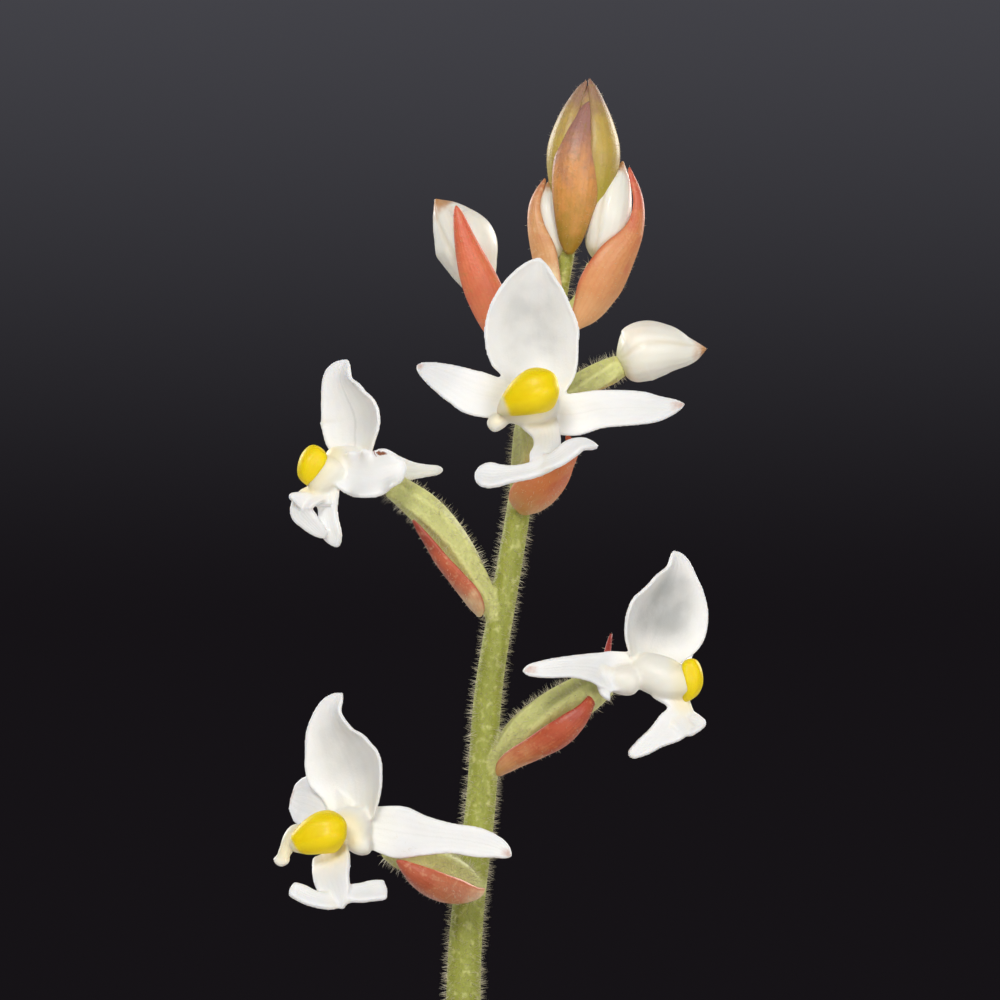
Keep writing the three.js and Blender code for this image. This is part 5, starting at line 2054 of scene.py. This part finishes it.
LEFT_FLOWER = FlowerPlan(
    heart=(-8.1, -2, 228.5), tone=BractTone.LEFT, cap_pale=(1, 0, -0.4), shade=0.15, crease_shade=1.0,
    scar=(2.0, -2.0, 0.78),
    ovary=Rod(radius=[0.6, 1.1, 1.15, 1.15, 0.95],
        rib=[(2.28, 0, 217.36), (0.56, -0.7, 220.47), (-0.94, -1.2, 223.06), (-2.79, -1.7, 225.21),
        (-5.14, -2, 227.07)]),
    flesh=[
        Rod(radius=[1.25, 1.35, 1.2, 0.8],
            rib=[(1.1, 0, -0.5), (-0.2, 0, 0), (-1.2, -0.1, 0.15), (-1.9, -0.3, 0.1)]),
        Rod(radius=[1.25, 1.15, 1, 0.7],
            rib=[(-0.94, -0.7, 0.21), (-1.56, -1, -0.51), (-2.13, -1.1, -1.29), (-2.48, -1.1, -2.14)]),
    ],
    petals=[
        Blade(Kind.HOOD, (-0.6, -0.8, 0), cup=0.6, half=[1.72, 2.53, 2.88, 2.18, 1.44, 0.3],
            rib=[(0.45, 0.2, 0.4), (0.35, 0.4, 1.9), (0.3, 0.4, 3.5), (-0.3, 0.2, 5), (-0.7, -0.1, 6.3),
            (-0.3, -0.4, 7.5)]),
        Blade(Kind.LOBE, (-0.3, -0.9, 0.15), cup=0.8, wave=0.3, waves=3, half=[1.2, 1.75, 1.85, 1.55, 1.15],
            rib=[(-0.58, -0.8, -0.29), (0.45, -1.6, -0.65), (1.61, -2.2, -0.73), (2.82, -2.5, -0.38),
            (3.96, -2.6, -0.03)]),
        Blade(Kind.SEPAL, (-0.5, 0.8, 0.2), cup=0.3, half=[1.2, 1.3, 0.62, 0.3],
            rib=[(-0.14, 0.6, -0.35), (2.31, 2.2, -0.34), (4.44, 3.6, -0.4), (6.45, 4.6, -0.32)]),
        Blade(Kind.CLAW, (-0.5, -0.8, 0.3), half=[1, 0.95, 1.15, 1.35],
            rib=[(-1.24, -0.4, -0.36), (-2.08, -0.7, -1.36), (-2.42, -0.9, -2.22), (-2.49, -1, -2.93)]),
        Blade(Kind.LOBE, (-0.6, -0.75, 0.3), cup=0.25, half=[0.9, 1.05, 0.95, 0.72, 0.6],
            rib=[(-2.06, -1, -1.93), (-3.1, -1.5, -2.5), (-3.45, -1.7, -3.28), (-2.88, -1.7, -4.06),
            (-1.76, -1.4, -5.13)]),
        Blade(Kind.LOBE, (-0.5, -0.8, 0.2), cup=0.25, half=[1.1, 0.8, 0.8, 0.8, 0.5],
            rib=[(-1.64, -0.9, -1.79), (-1.64, -1, -3.07), (-1.56, -1.1, -3.92), (-1.35, -1.1, -4.85),
            (-0.92, -1, -5.84)]),
        Blade(Kind.CLAW, (-0.5, -0.8, 0.3), half=[0.8, 0.62, 0.35, 0.15],
            rib=[(-2.74, -1.6, -2.85), (-3.43, -1.9, -2.5), (-3.99, -2.1, -2.29), (-4.34, -2.2, -2.22)]),
    ],
    cap=Rod(radius=[0.75, 1.02, 1.1, 0.95, 0.45],
        rib=[(-1.91, -0.9, 0.92), (-2.33, -1.1, 0.56), (-2.68, -1.2, -0.01), (-2.89, -1.1, -0.72),
        (-2.98, -0.8, -1.5)]),
    bract=Blade(Kind.BRACT, (0.6, 0.45, 0.55), cup=1, half=[0.55, 1.2, 1.1, 0.9, 0.6, 0.15],
        rib=[(0.99, -0.8, 217.67), (0.14, -2, 219), (-0.78, -2.5, 220.23), (-1.77, -2.8, 221.51),
        (-2.55, -2.9, 222.8), (-3.7, -2.7, 224.58)]),
)

RIGHT_FLOWER = FlowerPlan(
    heart=(13, -4, 214.1), tone=BractTone.RIGHT, cap_pale=(-1, 0, 0.1), shade=0.85, crease_shade=0.2,
    ovary=Rod(radius=[0.6, 1.4, 1.6, 1.45, 1.05],
        rib=[(1.64, 0, 206.34), (3.86, -1, 208.79), (5.79, -2, 210.43), (7.91, -3, 211.84),
        (10.01, -3.9, 213.1)]),
    flesh=[
        Rod(radius=[1.2, 1.4, 1.5, 1.35, 0.95],
            rib=[(-1.29, 0, 0), (-0.04, -0.5, -0.26), (1.08, -0.8, -0.67), (1.92, -1, -1.22),
            (2.48, -1.1, -2.07)]),
        Rod(radius=[1.1, 1.2, 0.9], rib=[(1.64, -0.9, -0.24), (2.26, -1.2, -0.93), (2.47, -1.2, -1.92)]),
        Rod(radius=[0.6, 1.05, 1.1], rib=[(-3.21, -0.4, -0.55), (-2.03, -1, -0.8), (-0.62, -0.9, -0.81)]),
    ],
    petals=[
        Blade(Kind.HOOD, (0.5, -0.85, 0), cup=0.7, half=[2.18, 3.1, 3.68, 3.33, 2.3, 1.15, 0.25],
            rib=[(-0.1, 0.2, 0.3), (0.15, 0.5, 1.6), (0.7, 0.6, 3.2), (1.25, 0.6, 4.8), (1.7, 0.3, 6.2),
            (1.95, 0, 7.3), (1.8, -0.4, 8.3)]),
        Blade(Kind.SEPAL, (0.2, -0.9, 0.3), cup=0.35, half=[1.35, 1.5, 1.05, 0.8, 0.68, 0.38],
            rib=[(-0.89, -0.7, -0.11), (-2.75, -1.3, -0.22), (-4.18, -2, 0.09), (-5.59, -2.6, 0.19),
            (-7.14, -3.1, 0.08), (-8.89, -3.5, -0.04)]),
        Blade(Kind.SEPAL, (1, 0, 0.3), cup=0.2, half=[1.2, 1.5, 1.1, 0.3],
            rib=[(0.4, 0.5, 0), (1.8, 2.8, 0.8), (2.8, 5.2, 1.2), (3.5, 7.4, 1.3)]),
        Blade(Kind.LOBE, (0.2, -0.9, 0.2), half=[0.9, 0.75, 0.4, 0.12],
            rib=[(-2.75, -1.4, 0.07), (-3.04, -1.7, -0.91), (-3.12, -1.9, -1.6), (-2.77, -2, -2.22)]),
        Blade(Kind.CLAW, (0.2, -0.95, 0.2), half=[1.5, 0.95, 0.85, 1.15],
            rib=[(1.36, -0.9, -1.23), (1.91, -1.1, -2.07), (2.19, -1.2, -2.76), (2.26, -1.2, -3.47)]),
        Blade(Kind.CLAW, (0.3, -0.9, 0.35), cup=0.3, half=[1.1, 1.15, 0.78, 0.62, 0.3],
            rib=[(2.47, -1.2, -3.33), (1.54, -1.6, -4.08), (0.46, -2, -4.82), (-0.46, -2.3, -5.44),
            (-1.46, -2.6, -6.05)]),
        Blade(Kind.CLAW, (0.4, -0.85, 0.4), cup=0.2, half=[0.9, 1.1, 0.8, 0.2],
            rib=[(1.76, -1.3, -3.32), (2.54, -1.2, -3.75), (3.26, -1, -3.83), (4.05, -0.8, -3.85)]),
    ],
    cap=Rod(radius=[0.5, 0.8, 0.9, 0.8, 0.35],
        rib=[(2.62, -1.2, 0.62), (2.83, -1.4, 0.14), (2.89, -1.5, -0.63), (2.83, -1.4, -1.41),
        (2.55, -1.2, -2.34)]),
    bract=Blade(Kind.BRACT, (-0.3, 0.75, 0.5), cup=1.1, half=[0.6, 1.1, 1.3, 1.45, 1.2, 0.62, 0.35, 0.15],
        rib=[(2.43, -0.9, 206.27), (3.57, -2.6, 207.19), (5.12, -3.9, 208.07), (6.6, -4.7, 208.97),
        (7.79, -5, 210.05), (8.86, -4.6, 211.44), (9.85, -2.2, 213.58), (10.47, -0.8, 216.38)]),
)

LOWER_FLOWER = FlowerPlan(
    heart=(-7.9, -7, 202.9), tone=BractTone.LOWER, cap_pale=(-1, 0.3, -0.7), shade=0.4, crease_shade=0.35,
    ovary=Rod(radius=[0.65, 1.3, 1.4, 1.3, 1],
        rib=[(0.92, 0, 198.06), (-1.06, -2.8, 199.52), (-2.79, -4.9, 200.73), (-4.31, -6.1, 201.41),
        (-5.35, -6.7, 201.83)]),
    flesh=[
        Rod(radius=[1.35, 1.55, 1.2, 0.7],
            rib=[(1.2, 0.2, -0.3), (0, -0.3, 0.1), (-1.3, -0.7, 0), (-3, -0.7, 0.1)]),
        Rod(radius=[0.9, 0.9, 0.7], rib=[(0.07, -0.7, -0.35), (0.78, -1, -0.81), (1.48, -1, -0.74)]),
        Rod(radius=[0.75, 0.65, 0.5, 0.4],
            rib=[(-3.27, -0.9, 0.37), (-4.07, -1.4, -0.42), (-4.48, -1.6, -1.23), (-4.96, -1.7, -1.92)]),
        Rod(radius=[0.3, 0.36, 0.22], rib=[(-4.19, -1.7, -1.78), (-4.82, -1.7, -2.06), (-5.38, -1.7, -1.71)]),
    ],
    petals=[
        Blade(Kind.HOOD, (-0.5, -0.85, 0), cup=0.7, half=[1.82, 2.85, 3.42, 3.08, 2.17, 1.08, 0.25],
            rib=[(0.5, 0.2, 0.6), (0.4, 0.6, 2.7), (0, 0.8, 4.3), (-0.6, 0.7, 5.7), (-1.2, 0.4, 7.1),
            (-1.3, 0, 8.5), (-0.65, -0.4, 9.6)]),
        Blade(Kind.SEPAL, (-0.3, -0.9, 0.2), cup=0.2, half=[1.4, 1.84, 1.73, 0.8],
            rib=[(-0.5, 0.4, 0.6), (-2.3, 1.6, 1.6), (-3.5, 2.8, 1.9), (-4.4, 3.8, 2)]),
        Blade(Kind.SEPAL, (0, -1, 0.1), cup=0.25, half=[1.3, 1.85, 1.4, 1.05, 1.05, 0.75, 0.3],
            rib=[(0.6, -0.3, 0.4), (3.2, -0.2, -0.1), (5.1, 0, -0.4), (7, 0.2, -0.6), (8.8, 0.4, -0.9),
            (10.2, 0.6, -1.3), (11.2, 0.7, -1.9)]),
        Blade(Kind.CLAW, (-0.4, -0.85, 0.3), cup=0.25, half=[1.45, 1.5, 1.35, 1, 0.2],
            rib=[(-1.45, -1, -1.29), (-1.25, -2.2, -2.14), (-1.14, -3.1, -3.15), (-0.77, -3.6, -4.07),
            (-0.41, -3.9, -5.06)]),
        Blade(Kind.CLAW, (-0.2, -0.8, 0.5), cup=0.35, half=[0.75, 0.6, 0.6, 0.62, 0.5],
            rib=[(-0.91, -3.6, -4.55), (-1.72, -3.8, -4.52), (-2.55, -3.9, -4.31), (-3.3, -3.9, -3.96),
            (-4.06, -3.9, -3.62)]),
        Blade(Kind.CLAW, (-0.2, -0.8, 0.5), cup=0.35, half=[0.5, 0.66, 0.74, 0.8, 0.72],
            rib=[(-0.56, -3.6, -4.48), (0.13, -3.7, -4.05), (0.89, -3.6, -4), (1.71, -3.4, -3.88),
            (2.6, -3.2, -3.83)]),
    ],
    cap=Rod(radius=[0.5, 0.9, 1.28, 1.5, 1.42, 0.85],
        rib=[(-4.03, -2.1, -1.18), (-3.46, -2.4, -0.67), (-2.62, -2.6, -0.23), (-1.79, -2.6, 0.04),
        (-1.03, -2.5, 0.17), (-0.42, -2.1, 0.14)]),
    bract=Blade(Kind.BRACT, (0.2, 0.55, 0.8), cup=1.25, half=[1, 1.75, 2.05, 1.5, 0.2],
        rib=[(0.93, -1.6, 197.67), (-0.4, -4.2, 197.61), (-1.86, -6, 198.17), (-3.22, -7.6, 199.33),
        (-4.67, -8.4, 200.95)]),
)

LEFT_BUD = BudPlan(
    tone=BractTone.BUD_LEFT,
    ovary=Rod(radius=[0.6, 0.8, 0.85, 0.75],
        rib=[(5.7, 0, 235.6), (4, 0.9, 237), (2.6, 0.9, 238.8), (1.9, 0.7, 240.2)]),
    bud=Rod(radius=[0.75, 1.75, 2.3, 1.55, 0.25],
        rib=[(1.27, 0.7, 240.73), (0.62, 0.7, 242.75), (-0.03, 0.6, 244.62), (-1.04, 0.5, 246.2),
        (-2.19, 0.4, 247.71)]),
    bract=Blade(Kind.BRACT, (0, 1, 0.2), cup=0.95, half=[1, 1.35, 1.5, 1.4, 0.9, 0.2],
        rib=[(4.01, -1.1, 236.61), (2.86, -1.7, 237.94), (1.79, -2.1, 239.85), (0.86, -2.2, 241.99),
        (0.07, -2, 244.28), (-0.65, -1.6, 247.03)]),
)

RIGHT_BUD = BudPlan(
    tone=BractTone.BUD_RIGHT,
    ovary=Rod(radius=[0.6, 0.88, 0.98, 0.95, 0.82],
        rib=[(5.38, 0, 232.48), (6.95, 0.8, 233.5), (8.7, 1.1, 234.5), (10.2, 1.2, 235.2),
        (11.3, 1.2, 235.75)]),
    bud=Rod(radius=[0.95, 1.9, 2.2, 1.8, 1.05, 0.25],
        rib=[(10.96, 1.2, 236.06), (11.9, 1.2, 236.31), (13.06, 1.1, 236.78), (14.57, 1, 236.88),
        (16.09, 1, 236.77), (17.43, 1, 236.93)]),
    bract=Blade(Kind.BRACT, (-0.4, 0, 0.9), cup=1, half=[1.3, 1.6, 1.4, 1, 0.25],
        rib=[(5.7, 0.6, 231), (7.4, 1.4, 231.9), (9.1, 1.8, 232.6), (10.8, 2, 233.1), (12.4, 2, 233.4)]),
)

UPPER_RIGHT_BUD = BudPlan(
    tone=BractTone.UPPER_RIGHT,
    ovary=Rod(radius=[0.5, 0.65, 0.7, 0.7],
        rib=[(6.5, 0, 238.6), (7.7, 0, 239.6), (8.8, -0.1, 240.9), (9.4, -0.3, 242.9)]),
    bud=Rod(radius=[0.8, 1.42, 1.55, 1.15, 0.2],
        rib=[(9.4, -0.3, 243.26), (9.97, -0.5, 244.83), (10.4, -0.6, 246.54), (10.84, -0.4, 248.5),
        (11.36, 0, 250.41)]),
    bract=Blade(Kind.BRACT, (-0.5, 0.75, 0.2), cup=1.05, half=[0.7, 1.7, 2.15, 1.9, 0.95, 0.42, 0.15],
        rib=[(8.02, -0.9, 238.34), (9.23, -1.5, 239.67), (10.14, -2, 241.07), (11.14, -2.1, 242.99),
        (12.25, -1.8, 245.16), (12.48, -1.2, 247.35), (11.77, -0.5, 249.86)]),
)

UPPER_LEFT_BUD = BudPlan(
    tone=BractTone.UPPER_LEFT,
    ovary=Rod(radius=[0.5, 0.6, 0.6], rib=[(6.9, 0, 241.6), (6.7, 0.4, 242.6), (6.4, 0.9, 243.6)]),
    bud=Rod(radius=[0.6, 1.05, 0.95, 0.2],
        rib=[(6.82, 0.2, 243.44), (6.25, 0.1, 245.3), (5.96, 0, 247.1), (6.03, 0.2, 248.99)]),
    bract=Blade(Kind.BRACT, (0.6, 0.75, 0.1), cup=1, half=[0.7, 1.1, 1.2, 0.78, 0.44, 0.13],
        rib=[(6.45, -0.5, 240.37), (5.75, -0.8, 242.08), (5.35, -1, 243.78), (4.92, -0.9, 245.66),
        (4.95, -0.6, 247.33), (5.75, 0, 249.1)]),
)

FLOWERS = {"front": FRONT_FLOWER, "left": LEFT_FLOWER, "right": RIGHT_FLOWER, "lower": LOWER_FLOWER}
BUDS = {
    "left": LEFT_BUD,
    "right": RIGHT_BUD,
    "upper_right": UPPER_RIGHT_BUD,
    "upper_left": UPPER_LEFT_BUD,
}

TIP_BRACTS = {
    "front": Blade(Kind.BRACT, (0, 1, 0), cup=0.95, half=[0.6, 1.3, 1.85, 1.95, 1.7, 1.15, 0.3],
        rib=[(7.45, -1, 243.64), (7.64, -1.9, 245.58), (7.88, -2.4, 247.75), (8.03, -2.45, 249.81),
        (8.28, -2.1, 251.7), (8.65, -1.5, 253.27), (8.88, -0.9, 254.55)]),
    "right": Blade(Kind.BRACT, (-0.9, 0.35, 0), cup=1.35, half=[1, 2, 2.3, 1.8, 1, 0.15],
        rib=[(9.54, -0.6, 245.82), (10.46, -1, 248.52), (10.82, -1.1, 250.95), (10.39, -0.9, 253.05),
        (9.69, -0.4, 254.83), (8.91, 0, 256.3)]),
    "left": Blade(Kind.BRACT, (0.9, 0.35, 0), cup=1.35, half=[1, 1.9, 2, 1.5, 0.9, 0.15],
        rib=[(6.81, -0.4, 246.85), (6.23, -0.8, 249.33), (6.23, -0.9, 251.4), (6.88, -0.7, 253.36),
        (7.75, -0.3, 254.91), (8.73, 0.05, 256.17)]),
    "back": Blade(Kind.BRACT, (0, -1, 0), cup=1.1, half=[0.9, 1.9, 2.1, 1.5, 0.3],
        rib=[(7.9, 2, 246.6), (8.2, 2.5, 249), (8.4, 2.3, 251.4), (8.5, 1.8, 253.6), (8.7, 1.1, 255.4)]),
}

TIP_BUD = Rod(radius=[0.8, 1.75, 1.75, 0.95, 0.2],
    rib=[(8.05, 0.1, 247.25), (8.48, 0.1, 249.77), (8.69, 0.1, 252.65), (8.84, 0.1, 254.81),
    (8.91, 0.1, 255.89)])

STEMS = {
    "main": LeafyStem(
        "main",
        [(-5, 5, 56.3), (-5, 5, 76), (-4.4, 4.4, 98), (-2.4, 2.6, 126)],
        [
            Leaf(97, 268, 62, 14, 10),
            Leaf(103, 122, 64, 15, 10),
            Leaf(111, 352, 60, 15, 8),
            Leaf(116, 205, 56, 16, 6),
            Leaf(121, 62, 48, 16, 4),
        ],
    ),
    "left": LeafyStem(
        "left",
        [(-22, -6, 56.3), (-22.5, -6.2, 76), (-28, -8.6, 88), (-36, -12, 100)],
        [Leaf(86, 150, 52, 9, 9), Leaf(88, 240, 52, 8, 9), Leaf(96, 184, 46, 12, 5)],
    ),
    "right": LeafyStem(
        "right",
        [(22, -9, 56.3), (22.5, -9.2, 76), (28, -11.5, 86), (35, -14, 96)],
        [Leaf(85, 40, 52, 9, 9), Leaf(87, 296, 52, 9, 9), Leaf(94.5, 350, 46, 10, 6)],
    ),
    "back": LeafyStem(
        "back",
        [(8, 26, 56.3), (8.2, 26.4, 76), (10, 31, 86), (13, 37, 97)],
        [Leaf(86, 165, 52, 10, 8), Leaf(88, 38, 50, 9, 8), Leaf(95.5, 103, 44, 12, 5)],
    ),
}

STALK_LINE = [
    (-2.2, 2.4, 121), (-1.7, 1.3, 141), (-1, 0.5, 162), (-0.3, 0.1, 180), (0, 0, 194), (1.1, 0, 204),
    (1.7, 0, 212.5), (3.3, 0, 222), (4.95, 0, 232), (6.7, 0, 240.4), (8, 0, 247.5),
]


def main() -> None:
    """Builds the potted plant and its studio."""
    logging.basicConfig(level=logging.INFO, format="%(message)s")
    pot = Pot()
    pot.build()
    PottingMix(pot, STEMS).build()
    stem, leaf = StemFinish().make(), LeafFinish().make()
    for part in STEMS.values():
        part.build(stem, leaf)
    plans = [*FLOWERS.values(), *BUDS.values()]
    hair = HairFinish().make()
    FlowerStalk(STALK_LINE).build([plan.ovary for plan in plans], hair)
    petal, cap, white = PetalFinish().make(), CapFinish().make(), BudFinish().make()
    for name, plan in FLOWERS.items():
        Bloom(name, plan).build(petal, cap)
    for name, plan in BUDS.items():
        Bud(name, plan).build(white)
    SpikeTip(TIP_BRACTS, TIP_BUD).build()
    BractDown([*[plan.bract for plan in plans], *TIP_BRACTS.values()]).build(hair)
    Studio().build()
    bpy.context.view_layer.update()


if __name__ == "__main__":
    main()
